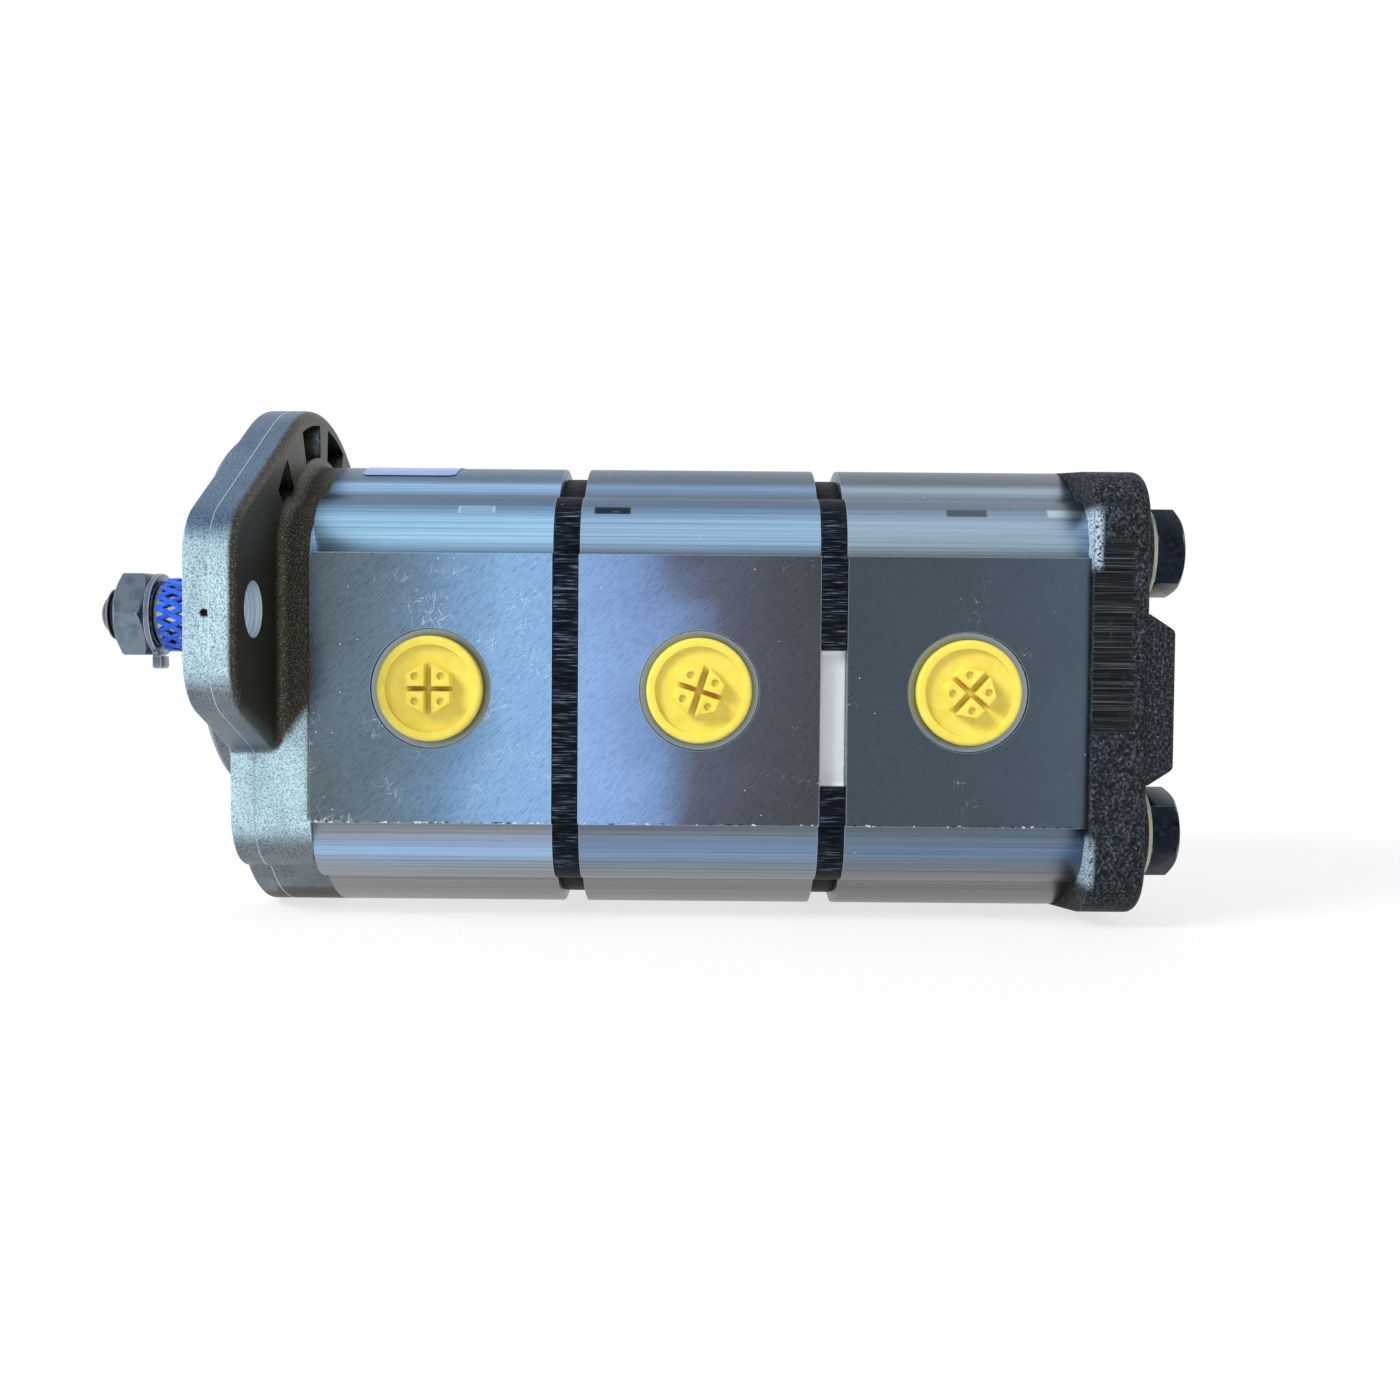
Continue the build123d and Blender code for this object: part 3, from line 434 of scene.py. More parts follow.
def milled_pad(tree, vector, place, number, tones, arc_centre_mm, glare, brush_tone, wear):
    """Painted reflection along one pad, arcs about a centre, brushed streaks, nicks and specks, and the
    arcs.
    """
    start = SECTION_STARTS_MM[number - 1] * MM
    end = start + SECTION_LENGTH_MM * MM
    along = add_node(tree, "ShaderNodeMapRange", {},
                     {"Value": place["X"], "From Min": start, "From Max": end}).outputs[0]
    cloud = streaks(tree, vector, (26, 26, 20), 2.0, (0, 0.6, 0))
    shift = add_node(tree, "ShaderNodeMath", {"operation": "MULTIPLY_ADD"},
                     {0: cloud, 1: 0.5, 2: -0.25}).outputs[0]
    along = add_node(tree, "ShaderNodeMath", {"operation": "ADD"}, {0: along, 1: shift}).outputs[0]
    pad = add_node(tree, "ShaderNodeValToRGB", {}, {"Fac": along}, stops=tones).outputs["Color"]
    centred = add_node(tree, "ShaderNodeMapping", {},
                       {"Vector": vector, "Location": [-c * MM for c in arc_centre_mm]}).outputs[0]
    arcs = add_node(tree, "ShaderNodeTexWave", {"wave_type": "RINGS", "rings_direction": "Y"},
                    {"Vector": centred, "Scale": WAVE_AT_SCALE_ONE / (ARC_SPACING_MM * MM),
                     "Distortion": 3.0, "Detail": 3.0, "Detail Scale": 0.6}).outputs["Fac"]
    pad = toned(tree, pad, arcs, [(0.0, "#eef0f2"), (1.0, "#ffffff")])
    brushed = streaks(tree, vector, BRUSH_STREAK_MM, 3.0, BRUSH_TURN)
    pad = toned(tree, pad, brushed, [(0.3, brush_tone), (0.5, "#f6f7f8"), (0.7, "#ffffff")])
    handled = over(tree, streaks(tree, vector, (11, 11, 9), 2.0), 0.56 - wear, 0.66 - wear)
    for length_mm, turned in NICKS:
        nicks = scratches(tree, vector, length_mm, NICK_WIDTH_MM, turned, 0.71 - wear / 4)
        pad = paint_over(tree, all_of(tree, handled, nicks), pad, glare)
    pad = paint_over(tree, specks(tree, vector, 1.7, 0.16, 0.12 + wear), pad, "#e9f1f7")
    tiny = specks(tree, vector, 0.8, 0.11, 0.15 + wear)
    return paint_over(tree, all_of(tree, handled, tiny), pad, "#f3f8fc"), arcs


print("arcs of the cutter every", ARC_SPACING_MM, "mm")

# %% One casing
PAD_SIDE_MM = (37.5, 37.7)
RECESS_SIDE_MM = (30.0, 37.4)
RECESS_HEIGHT_MM = (-42.0, 10.0)
BURR_HEIGHT_MM = (-44.6, -43.9)
WORN_HEIGHT_MM = (21.4, 23.0)


def extruded_finish(number, bands, pad_reflection_tones, arc_centre_mm, glare, brush_tone, wear, burr_from,
                    worn_places):
    """The finish of one casing: skin and pads, the recesses, the broken burr and the worn places."""
    material, tree, shader = new_finish(f"extruded_aluminium_{number}", 1.0, 0.36)
    vector, place = where_on(tree)[:2]
    skin, fine = skin_with_painted_bands(tree, vector, place, bands)
    pad, arcs = milled_pad(tree, vector, place, number, pad_reflection_tones, arc_centre_mm, glare, brush_tone, wear)
    side = add_node(tree, "ShaderNodeMath", {"operation": "ABSOLUTE"}, {0: place["Y"]}).outputs[0]
    on_pad = past(tree, side, *PAD_SIDE_MM)
    colour = paint_over(tree, on_pad, skin, pad)
    in_recess = all_of(tree, within(tree, side, *RECESS_SIDE_MM),
                       within(tree, place["Z"], *RECESS_HEIGHT_MM))
    colour = paint_over(tree, in_recess, colour, "#8f9ca6")

    ragged = streaks(tree, vector, (1.1, 1.1, 0.7), 3.0)
    burr_line = all_of(tree, on_pad, within(tree, place["Z"], *BURR_HEIGHT_MM, 0.2))
    for low, high, tone in ((burr_from, burr_from + 0.05, "#e8ecee"), (0.42, 0.36, "#23262a")):
        colour = paint_over(tree, all_of(tree, burr_line, over(tree, ragged, low, high)), colour, tone)
    near_side = past(tree, place["Y"], 0.0, -1.0)
    rubbed = over(tree, streaks(tree, vector, (5, 5, 0.5), 2.0), 0.2, 0.34)
    for from_x, to_x, tone in worn_places:
        worn = all_of(tree, within(tree, place["X"], from_x, to_x, 0.6),
                      within(tree, place["Z"], *WORN_HEIGHT_MM, 0.5), near_side, rubbed)
        colour = paint_over(tree, worn, colour, tone)
    colour = paint_over(tree, worn_edges(tree, 0.35), colour, "#cfdbe6")

    roughness = add_node(tree, "ShaderNodeMapRange", {}, {"Value": fine, "To Min": 0.28, "To Max": 0.44})
    tree.links.new(roughness.outputs[0], shader.inputs["Roughness"])
    height = add_node(tree, "ShaderNodeMix", {}, {0: on_pad, 2: fine, 3: arcs}).outputs[0]
    cover_with(tree, shader, colour, height, 0.12, 0.05)
    return material


print("pads start", PAD_SIDE_MM[1], "mm from the middle")

# %% The three casings
# Bands over the height: painted reflection and shade, as each curve of the skin would mirror the room.
bright_reflection_bands = ("#969899", "#959697", "#9aa3ab", "#a2c1e6", "#8f9499", "#7998b4", "#b0dcfb", "#b4e0ff",
                "#7594ae", "#415a74", "#a8d0f4", "#b0d8fc", "#657f99", "#5f7a94")
middle_reflection_bands = ("#908f8f", "#939292", "#8c949d", "#809abd", "#78818c", "#6f8396", "#a6c8e8", "#a8caea",
                "#768da5", "#566c80", "#8ba8c6", "#91afcf", "#647587", "#606f7f")
dark_reflection_bands = ("#84807d", "#8a8684", "#81858a", "#758ba5", "#6c7985", "#77858f", "#a7bccd", "#b2c6d9",
              "#8595a5", "#67767f", "#a8b9c8", "#aebfce", "#6d767f", "#676f78")
# Tones along each pad: painted reflection, bright on the first pad and dark on the third.
bright_pad_reflection = [(0.0, "#69777f"), (0.3, "#75899a"), (0.55, "#7c9cbe"), (0.8, "#97c0ea"), (1.0, "#98c1ee")]
middle_pad_reflection = [(0.0, "#9dc0f2"), (0.28, "#88a6d5"), (0.5, "#676b7c"), (0.75, "#575b64"), (1.0, "#515458")]
dark_pad_reflection = [(0.0, "#4c5760"), (0.5, "#4f5a64"), (1.0, "#566571")]
casing_finishes = {
    1: extruded_finish(1, bright_reflection_bands, bright_pad_reflection, (-20, 0, -60), "#dfeaf4", "#cfd4d9", 0.03, 0.54,
                       [(47.4, 55.2, "#c3dcf0"), (47.9, 54.7, "#9dbcd8")]),
    2: extruded_finish(2, middle_reflection_bands, middle_pad_reflection, (170, 0, -150), "#b9c8dc", "#d8dce0", -0.05, 0.62,
                       [(76.4, 84.1, "#2c363f")]),
    3: extruded_finish(3, dark_reflection_bands, dark_pad_reflection, (20, 0, -170), "#a9b7c4", "#e9ebed", -0.04, 0.62,
                       [(151.3, 159.9, "#5a6670"), (172.8, 180.4, "#cddbe6")]),
}
print("casing finishes:", [finish.name for finish in casing_finishes.values()])

# %% [markdown]
# ## Sand-cast aluminium
# The front cover is poured in a sand mould and shot-blasted. Its skin is a fine, sparkling grain of less
# than half a millimetre. Its tone is painted reflection by the way it faces, darker where it faces up or
# down. The back of the flange, its pockets and the neck behind it, as far as the flange's shadow falls, are
# painted dark brown as shade, and deep hollows darker still. Where a cutter went over it, in the pilot, the
# bores and the joint face, it is smooth and bright. One speck of dirt sits on the flange's edge, and a pale
# stroke carries the mould's parting line where its ridge is rubbed flush. Shade and blast have no sharp
# border, so one finish covers all of that, by the place and the way it faces.

# %% The blasted skin
GRAIN_MM = 0.34
FLANGE_MIDDLE_MM = (3.5, 4.5)
FLANGE_BACK_MM = 10.2
SHADOW_EDGE_MM = -28.4
SHADOW_SLANT = 1.26
SHADE_REACH_MM = 6
SEAM_MM = (5.12, 5.3)


def blasted_skin(tree, vector, place, facing, grain):
    """Sparkling grain with painted reflection and shade, and the pale stroke of the parting line."""
    patches = streaks(tree, vector, (9, 9, 9), 3.0)
    # Painted reflection: darker blue where the casting faces up, grey where it faces down.
    tone = paint_over(tree, over(tree, facing["Z"], 0.15, 0.6), shade("#dcf8ff"), "#7790a9")
    tone = paint_over(tree, over(tree, facing["Z"], -0.15, -0.6), tone, "#888f95")
    sparkle = [(0.32, "#97a4ae"), (0.46, "#d3dae0"), (0.55, "#f3f6f8"), (0.64, "#ffffff")]
    skin = toned(tree, tone, grain, sparkle)
    skin = toned(tree, skin, patches, [(0.3, "#dcdfe2"), (0.7, "#ffffff")])
    # Painted shade in dark brown, for the back of the flange, its shadow on the neck and its hollows.
    painted_shade = add_node(tree, "ShaderNodeValToRGB", {}, {"Fac": grain},
                    stops=[(0.35, "#2f2e27"), (0.55, "#45433a"), (0.72, "#7c7866")]).outputs["Color"]
    behind = past(tree, place["X"], *FLANGE_MIDDLE_MM)
    skin = paint_over(tree, all_of(tree, over(tree, facing["X"], 0.15, 0.6), behind), skin, painted_shade)
    past_flange = add_node(tree, "ShaderNodeMath", {"operation": "SUBTRACT"},
                           {0: place["X"], 1: FLANGE_BACK_MM * MM}).outputs[0]
    slanted = add_node(tree, "ShaderNodeMath", {"operation": "MULTIPLY_ADD"},
                       {0: past_flange, 1: -SHADOW_SLANT, 2: place["Z"]}).outputs[0]
    # Painted shadow of the flange on the neck behind it, above a slanted line.
    flange_shadow = all_of(tree, past(tree, past_flange, -1.0, 0.2),
                      past(tree, slanted, SHADOW_EDGE_MM - 1.5, SHADOW_EDGE_MM + 2.0))
    skin = paint_over(tree, flange_shadow, skin, painted_shade)
    hollow = add_node(tree, "ShaderNodeAmbientOcclusion", {"samples": 8},
                      {"Distance": SHADE_REACH_MM * MM}).outputs["AO"]
    skin = paint_over(tree, all_of(tree, behind, over(tree, hollow, 0.86, 0.7)), skin, painted_shade)
    # Painted shade, darkest, deep in hollows anywhere on the casting.
    skin = paint_over(tree, over(tree, hollow, 0.6, 0.3), skin, "#24231f")
    seam = all_of(tree, within(tree, place["X"], *SEAM_MM, 0.12), over(tree, patches, 0.36, 0.44),
                  over(tree, hollow, 0.86, 0.96))
    return paint_over(tree, seam, skin, "#dfe9f0")


print("grain of the casting:", GRAIN_MM, "mm")

# %% The machined places
FLANGE_BOLT_Y_MM = 53.2
FLANGE_HOLE_RADIUS_MM = 5.6
FRONT_FACE_MM = (0.4, 0.2)
JOINT_FACE_MM = (16.7, 16.9)


def machined_places(tree, place, facing):
    """1 in the flange's bolt holes, on the mounting side and on the joint face."""
    off_centre = add_node(tree, "ShaderNodeMath", {"operation": "ABSOLUTE"}, {0: place["Y"]}).outputs[0]
    off_hole = add_node(tree, "ShaderNodeMath", {"operation": "SUBTRACT"},
                        {0: off_centre, 1: FLANGE_BOLT_Y_MM * MM}).outputs[0]
    from_hole = add_node(tree, "ShaderNodeCombineXYZ", {}, {"X": off_hole, "Y": place["Z"]}).outputs[0]
    radius = add_node(tree, "ShaderNodeVectorMath", {"operation": "LENGTH"}, {0: from_hole}).outputs["Value"]
    bored = past(tree, radius, FLANGE_HOLE_RADIUS_MM + 0.15, FLANGE_HOLE_RADIUS_MM + 0.05)
    front = all_of(tree, over(tree, facing["X"], -0.9, -0.99), past(tree, place["X"], *FRONT_FACE_MM))
    joint = all_of(tree, over(tree, facing["X"], 0.9, 0.99), past(tree, place["X"], *JOINT_FACE_MM))
    machined = add_node(tree, "ShaderNodeMath", {"operation": "MAXIMUM"}, {0: bored, 1: front}).outputs[0]
    return add_node(tree, "ShaderNodeMath", {"operation": "MAXIMUM"}, {0: machined, 1: joint}).outputs[0]


print("flange bolt holes at", FLANGE_BOLT_Y_MM, "mm on both sides")

# %% Sand-cast aluminium
DIRT_PLACE_MM = (4.4, -64.7, -1.1)
DIRT_RAGGED_MM = 1.6
DIRT_SOFT_MM = 0.15


def cast_finish():
    """Blasted grain with a speck of dirt, and bright machined places without grain."""
    material, tree, shader = new_finish("sand_cast_aluminium", 0.9, 0.42)
    vector, place, facing = where_on(tree)
    grain = streaks(tree, vector, (GRAIN_MM, GRAIN_MM, GRAIN_MM), 2.0)
    skin = blasted_skin(tree, vector, place, facing, grain)
    from_dirt = add_node(tree, "ShaderNodeVectorMath", {"operation": "DISTANCE"},
                         {0: vector, 1: [c * MM for c in DIRT_PLACE_MM]}).outputs["Value"]
    ragged = add_node(tree, "ShaderNodeMath", {"operation": "MULTIPLY_ADD"},
                      {0: grain, 1: -DIRT_RAGGED_MM * MM, 2: from_dirt}).outputs[0]
    skin = paint_over(tree, past(tree, ragged, DIRT_SOFT_MM, -DIRT_SOFT_MM), skin, "#0c0d0f")
    machined = machined_places(tree, place, facing)
    turned = streaks(tree, vector, (0.35, 30, 30), 2.0)
    bright = add_node(tree, "ShaderNodeValToRGB", {}, {"Fac": turned},
                      stops=[(0.3, "#aebfcb"), (0.7, "#e8f2f8")]).outputs["Color"]
    colour = paint_over(tree, machined, skin, bright)
    cast = add_node(tree, "ShaderNodeMath", {"operation": "SUBTRACT"}, {0: 1.0, 1: machined}).outputs[0]
    cover_with(tree, shader, colour, all_of(tree, grain, cast), 0.7, 0.25)
    return material


sand_cast_aluminium = cast_finish()
print("finish:", sand_cast_aluminium.name)

# %% [markdown]
# ## Blackened iron casting
# The plates between the casings and the rear cover are iron, blackened in a hot bath. As cast, the iron is
# pebbly, with painted glints, pale specks that stand in for highlights on its high spots. Where it was sawn
# or milled flat on the side, it shows fine lines along the pump, light where the black rubbed off. One
# relief in the second plate and two ledges of the rear cover are bare metal. The black is a thin dark skin
# rather than paint, so it is given little shine of its own by a low index of refraction. One recipe makes
# both tones, with a box for the sawn part and a list of bare places.

# %% Blackened iron
SAW_PITCH_MM = 0.26
BLACK_SKIN_IOR = 1.16
FINE_PEBBLE_MM = 0.45


def black_cast_finish(name, pebble_mm, skin_tones, glints, sawn_box, strokes, stroke_mm, bare):
    """Black pebbly iron, sawn on its sides inside a box, with bare places from a list."""
    material, tree, shader = new_finish(name, 0.0, 0.5)
    shader.inputs["IOR"].default_value = BLACK_SKIN_IOR
    vector, place, facing = where_on(tree)
    pebbles = streaks(tree, vector, (pebble_mm, pebble_mm, pebble_mm), 2.0)
    fine = streaks(tree, vector, (FINE_PEBBLE_MM,) * 3, 2.0)
    skin = add_node(tree, "ShaderNodeValToRGB", {}, {"Fac": pebbles}, stops=skin_tones).outputs["Color"]
    # Painted glints: pale specks that stand in for highlights on the high spots.
    skin = paint_over(tree, specks(tree, vector, 0.9, 0.13, glints), skin, "#9aa5af")
    side = add_node(tree, "ShaderNodeMath", {"operation": "ABSOLUTE"}, {0: facing["Y"]}).outputs[0]
    (from_x, to_x), (from_z, to_z) = sawn_box
    lines = streaks(tree, vector, (stroke_mm, stroke_mm, SAW_PITCH_MM), 3.0)
    wander = streaks(tree, vector, (3, 3, 5), 2.0)
    sawn = all_of(tree, over(tree, side, 0.55, 0.8), within(tree, place["Z"], from_z, to_z, 3.0),
                  within(tree, place["X"], from_x, to_x, 3.0), over(tree, wander, 0.15, 0.4))
    sawn_tone = add_node(tree, "ShaderNodeValToRGB", {}, {"Fac": lines}, stops=strokes).outputs["Color"]
    colour = paint_over(tree, sawn, skin, sawn_tone)
    for low, high, tone, mottled in bare:
        softness = 3.0 if mottled else 0.6
        inside = within(tree, place["X"], low[0], high[0], softness / 2)
        for axis, from_mm, to_mm in zip("YZ", low[1:], high[1:]):
            inside = all_of(tree, inside, within(tree, place[axis], from_mm, to_mm, softness))
        if mottled:
            inside = all_of(tree, inside, over(tree, fine, 0.38, 0.52))
        colour = paint_over(tree, inside, colour, tone)
    worn = all_of(tree, worn_edges(tree, 0.4), over(tree, fine, 0.45, 0.6))
    colour = paint_over(tree, worn, colour, "#596067")
    height = add_node(tree, "ShaderNodeMix", {}, {0: sawn, 2: pebbles, 3: lines}).outputs[0]
    cover_with(tree, shader, colour, height, 0.8, 0.3)
    return material


plate_tones = [(0.3, "#05070a"), (0.5, "#0a0e12"), (0.68, "#151b21")]
cover_tones = [(0.3, "#0e1113"), (0.48, "#202427"), (0.6, "#363c40"), (0.72, "#525960")]
plate_strokes = [(0.38, "#03060a"), (0.5, "#0b1119"), (0.58, "#1e2936"), (0.72, "#667382")]
cover_strokes = [(0.35, "#090a0b"), (0.5, "#1a1c1e"), (0.6, "#303234"), (0.72, "#5c5f61")]
relief_floors = [((124.0, -35.6, -36.0), (130.5, -34.0, -7.2), "#ffffff", False),
                 ((124.0, 34.0, -36.0), (130.5, 35.6, -7.2), "#ffffff", False)]
bare_ledges = [((180.5, -40.0, 10.5), (182.7, -29.0, 22.5), "#c3d8e8", True),
               ((180.5, -40.0, -56.5), (181.9, -29.0, -46.5), "#aebfcc", True)]
PLATE_SAWN_BOX = ((60, 140), (-60.0, 25.5))
COVER_SAWN_BOX = ((178, 189.5), (-24.0, 16.0))
black_plate = black_cast_finish("blackened_plate", 1.1, plate_tones, 0.03, PLATE_SAWN_BOX, plate_strokes, 5,
                                relief_floors)
black_cover = black_cast_finish("blackened_cover", 0.6, cover_tones, 0.12, COVER_SAWN_BOX, cover_strokes, 22,
                                bare_ledges)
print("finishes:", black_plate.name, black_cover.name)

# %% [markdown]
# ## Fasteners, shaft and small metal parts
# The long bolts are black oxide steel, a thin dark skin that wears pale along the corners of the heads; on
# the heads and the nut the pale edges are also painted highlight. Their washers are yellow zinc, the shaft's
# nut and tab washer bright zinc. The shaft and gears are ground steel, its thread end darker, and the
# bearing blocks are machined aluminium. Each could have its own recipe, but they differ only in tone, so
# they share
# one: two tones in fine streaks, and pale edges.

# %% Brushed metals
THREAD_END_MM = -27.6


def brushed_metal(name, dark, light, edge, roughness, lengths_mm, bump_share=0.1, tint=None,
                  darker_to_mm=None, edge_mm=0.3):
    """Fine streaks of two tones, pale edges (wear and painted highlight), tint patches, a darker end in X.
    """
    material, tree, shader = new_finish(name, 1.0, roughness)
    vector, place = where_on(tree)[:2]
    lines = streaks(tree, vector, lengths_mm, 3.0)
    colour = add_node(tree, "ShaderNodeValToRGB", {}, {"Fac": lines},
                      stops=[(0.3, dark), (0.7, light)]).outputs["Color"]
    if tint:
        patches = streaks(tree, vector, (4, 4, 4), 2.0)
        colour = paint_over(tree, over(tree, patches, 0.45, 0.65), colour, tint)
    # The thread end is darker, up to one place along X.
    if darker_to_mm is not None:
        darkened = add_node(tree, "ShaderNodeMix", MULTIPLY_COLOURS,
                         {MIX_FACTOR: 1.0, MIX_FIRST: colour, MIX_SECOND: shade("#6a6d70")}).outputs[MIXED]
        dark_end = past(tree, place["X"], darker_to_mm + 0.5, darker_to_mm)
        colour = paint_over(tree, dark_end, colour, darkened)
    # Pale edges: wear, and on the bolt heads and the nut also painted highlight.
    colour = paint_over(tree, worn_edges(tree, edge_mm), colour, edge)
    cover_with(tree, shader, colour, lines, bump_share, 0.1)
    return material


black_oxide = brushed_metal("black_oxide_steel", "#111419", "#252c34", "#8b98a3", 0.24, (1.2, 1.2, 1.2),
                            0.3, "#1a2430", edge_mm=0.6)
yellow_zinc = brushed_metal("yellow_zinc", "#6f716a", "#b6b8ac", "#e3e3d8", 0.3, (0.3, 6, 6), 0.1, "#a39d7c")
bright_zinc = brushed_metal("bright_zinc", "#5b6771", "#8494a2", "#e2eef6", 0.26, (4, 4, 4), 0.08, "#75828d",
                            edge_mm=0.55)
shaft_steel = brushed_metal("shaft_steel_dark_end", "#8a9298", "#cdd5db", "#dfe6ea", 0.3, (0.35, 5, 5), 0.2,
                            darker_to_mm=THREAD_END_MM)
ground_steel = brushed_metal("ground_steel", "#83878b", "#b9bdc1", "#dadde0", 0.3, (0.3, 8, 8))
machined_block = brushed_metal("machined_block", "#9da2a8", "#c9cdd2", "#e2e5e8", 0.32, (0.3, 8, 8))
spring_steel = brushed_metal("phosphated_spring_steel", "#3a3b3e", "#5d5e62", "#85878a", 0.45,
                             (1, 1, 1), 0.2)
bush_bronze = brushed_metal("bush_bronze", "#94692f", "#bd8c4b", "#d9ad70", 0.3, (0.3, 6, 6))
small_metals = (black_oxide, yellow_zinc, bright_zinc, shaft_steel, ground_steel, machined_block,
                spring_steel, bush_bronze)
print("metals:", [finish.name for finish in small_metals])

# %% [markdown]
# ## Plastics, rubber and film
# The port plugs are soft polyethylene, moulded in yellow: the colour deepens to orange in the slots, where
# light bounces between yellow walls. The net is the same kind of plastic in blue. Seals are black rubber,
# their backups pale hard plastic, and the sheet on the first casing is glossy film. Many bounces of light
# would give the deep colour too, but slowly, so the recipe darkens what lies in a hollow, as far as its
# neighbours stand over it.

# %% Moulded plastics
HOLLOW_REACH_MM = 1.6


def moulded_plastic(name, light, dark, deep, roughness, texture_mm, softness=0.0):
    """Plastic with a faint moulding texture and a deeper colour in its hollows."""
    material, tree, shader = new_finish(name, 0.0, roughness)
    vector = where_on(tree)[0]
    texture = streaks(tree, vector, (texture_mm,) * 3, 2.0)
    colour = add_node(tree, "ShaderNodeValToRGB", {}, {"Fac": texture},
                      stops=[(0.3, dark), (0.7, light)]).outputs["Color"]
    hollow = add_node(tree, "ShaderNodeAmbientOcclusion", {"samples": 8},
                      {"Distance": HOLLOW_REACH_MM * MM}).outputs["AO"]
    colour = paint_over(tree, over(tree, hollow, 0.55, 0.15), colour, deep)
    shader.inputs["Subsurface Weight"].default_value = softness
    shader.inputs["Subsurface Radius"].default_value = (1.2 * MM, 0.9 * MM, 0.3 * MM)
    shader.inputs["Subsurface Scale"].default_value = 1.0
    cover_with(tree, shader, colour, texture, 0.15, 0.1)
    return material


yellow_plug = moulded_plastic("yellow_polyethylene", "#e8d456", "#e2ca46", "#bd760a", 0.28, 2.5, 0.08)
blue_net = moulded_plastic("blue_polyethylene", "#0f5fe4", "#043dac", "#011a4e", 0.22, 1.5)
seal_rubber = moulded_plastic("black_rubber", "#1c1d1f", "#131416", "#08090a", 0.7, 1.0)
backup_plastic = moulded_plastic("backup_plastic", "#ece8dc", "#dfdace", "#b9b3a4", 0.5, 1.0)
label_film = moulded_plastic("glossy_film", "#6488bb", "#5c80b2", "#3b5272", 0.2, 6.0)
plastics = (yellow_plug, blue_net, seal_rubber, backup_plastic, label_film)
print("plastics:", [finish.name for finish in plastics])

# %% [markdown]
# ## Which finish goes on which solid
# The CAD nodes keep their shapes. Each gets its finish through its material slot. Most are found by a word
# in their name, because the names already say what they are, and all the others are ground steel.

# %% Finishes on the CAD nodes
def dress(mesh, finish):
    """Give a mesh one finish and no other."""
    mesh.materials.clear()
    mesh.materials.append(finish)


finish_of = {
    "front_cover": sand_cast_aluminium, "rear_cover": black_cover, "intermediate_plate_1": black_plate,
    "intermediate_plate_2": black_plate, "through_bolts": black_oxide, "bolt_washers": yellow_zinc,
    "shaft_nut": bright_zinc, "tab_washer": bright_zinc, "seal_snap_ring": spring_steel,
    "shaft_seal": seal_rubber, "shaft_net": blue_net, "label": label_film, "drive_shaft": shaft_steel,
}
for name in nodes:
    if name.startswith("pump_body"):
        finish_of[name] = casing_finishes[int(name[-1])]
    elif "plug" in name:
        finish_of[name] = yellow_plug
    elif "bearing_block" in name:
        finish_of[name] = machined_block
    elif "bushes" in name:
        finish_of[name] = bush_bronze
    elif "rings" in name or "seals" in name:
        finish_of[name] = backup_plastic if "backup" in name else seal_rubber
    dress(nodes[name].data, finish_of.setdefault(name, ground_steel))
print("finished nodes:", len(finish_of))

# %% [markdown]
# ## Rounded edges
# A CAD edge is perfectly sharp and catches no light. Real edges are broken: by a file, by a tumbling drum,
# or by the mould. A finish could only paint them, so for the pieces seen from near a copy of the CAD mesh is
# welded, its flat faces are joined, and a Bevel modifier rounds its edges. The copy then stands for the
# node, in the same place.

# %% Rounded edges
WELD_MM = 0.002
FLAT_WITHIN = radians(0.5)
SHARP_FROM = radians(35)
SMOOTH_BELOW = radians(28)
EDGE_SEGMENTS = 2
body_of_node = {}
for body, members in frame["record"]["behaviour"]["bodies"].items():
    for member in members:
        body_of_node[member] = body


def welded_copy(node, name):
    """A copy of a CAD node with its loose triangles welded, all selected and left in edit mode."""
    deselect_all()
    piece = bpy.data.objects.new(name, nodes[node].data.copy())
    bpy.context.scene.collection.objects.link(piece)
    bpy.context.view_layer.objects.active = piece
    piece.select_set(True)
    bpy.ops.mesh.customdata_custom_splitnormals_clear()
    bpy.ops.object.mode_set(mode="EDIT")
    bpy.ops.mesh.select_all(action="SELECT")
    bpy.ops.mesh.remove_doubles(threshold=WELD_MM * MM)
    return piece


def soft_edged(node, width_mm):
    """A copy of a CAD node with rounded edges, which rides on the node's body and stands for it."""
    piece = welded_copy(node, f"{node}_soft")
    bpy.ops.mesh.dissolve_limited(angle_limit=FLAT_WITHIN)
    bpy.ops.object.mode_set(mode="OBJECT")
    bevel = piece.modifiers.new("edges", "BEVEL")
    bevel.width = width_mm * MM
    bevel.segments = EDGE_SEGMENTS
    bevel.limit_method = "ANGLE"
    bevel.angle_limit = SHARP_FROM
    bevel.use_clamp_overlap = False
    bpy.ops.object.modifier_apply(modifier=bevel.name)
    bpy.ops.object.shade_smooth_by_angle(angle=SMOOTH_BELOW)
    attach(piece, body_of_node[node])
    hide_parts(node)
    print(piece.name, "faces:", len(piece.data.polygons))
    return piece


for number in (1, 2, 3):
    soft_edged(f"pump_body_{number}", 0.25)
    soft_edged(f"outlet_plug_{number}", 0.22)
    soft_edged(f"inlet_plug_{number}", 0.22)
for number in (1, 2):
    soft_edged(f"intermediate_plate_{number}", 0.4)
soft_edged("shaft_nut", 0.3)
soft_edged("tab_washer", 0.25)
soft_edged("through_bolts", 0.3)
soft_edged("bolt_washers", 0.2)

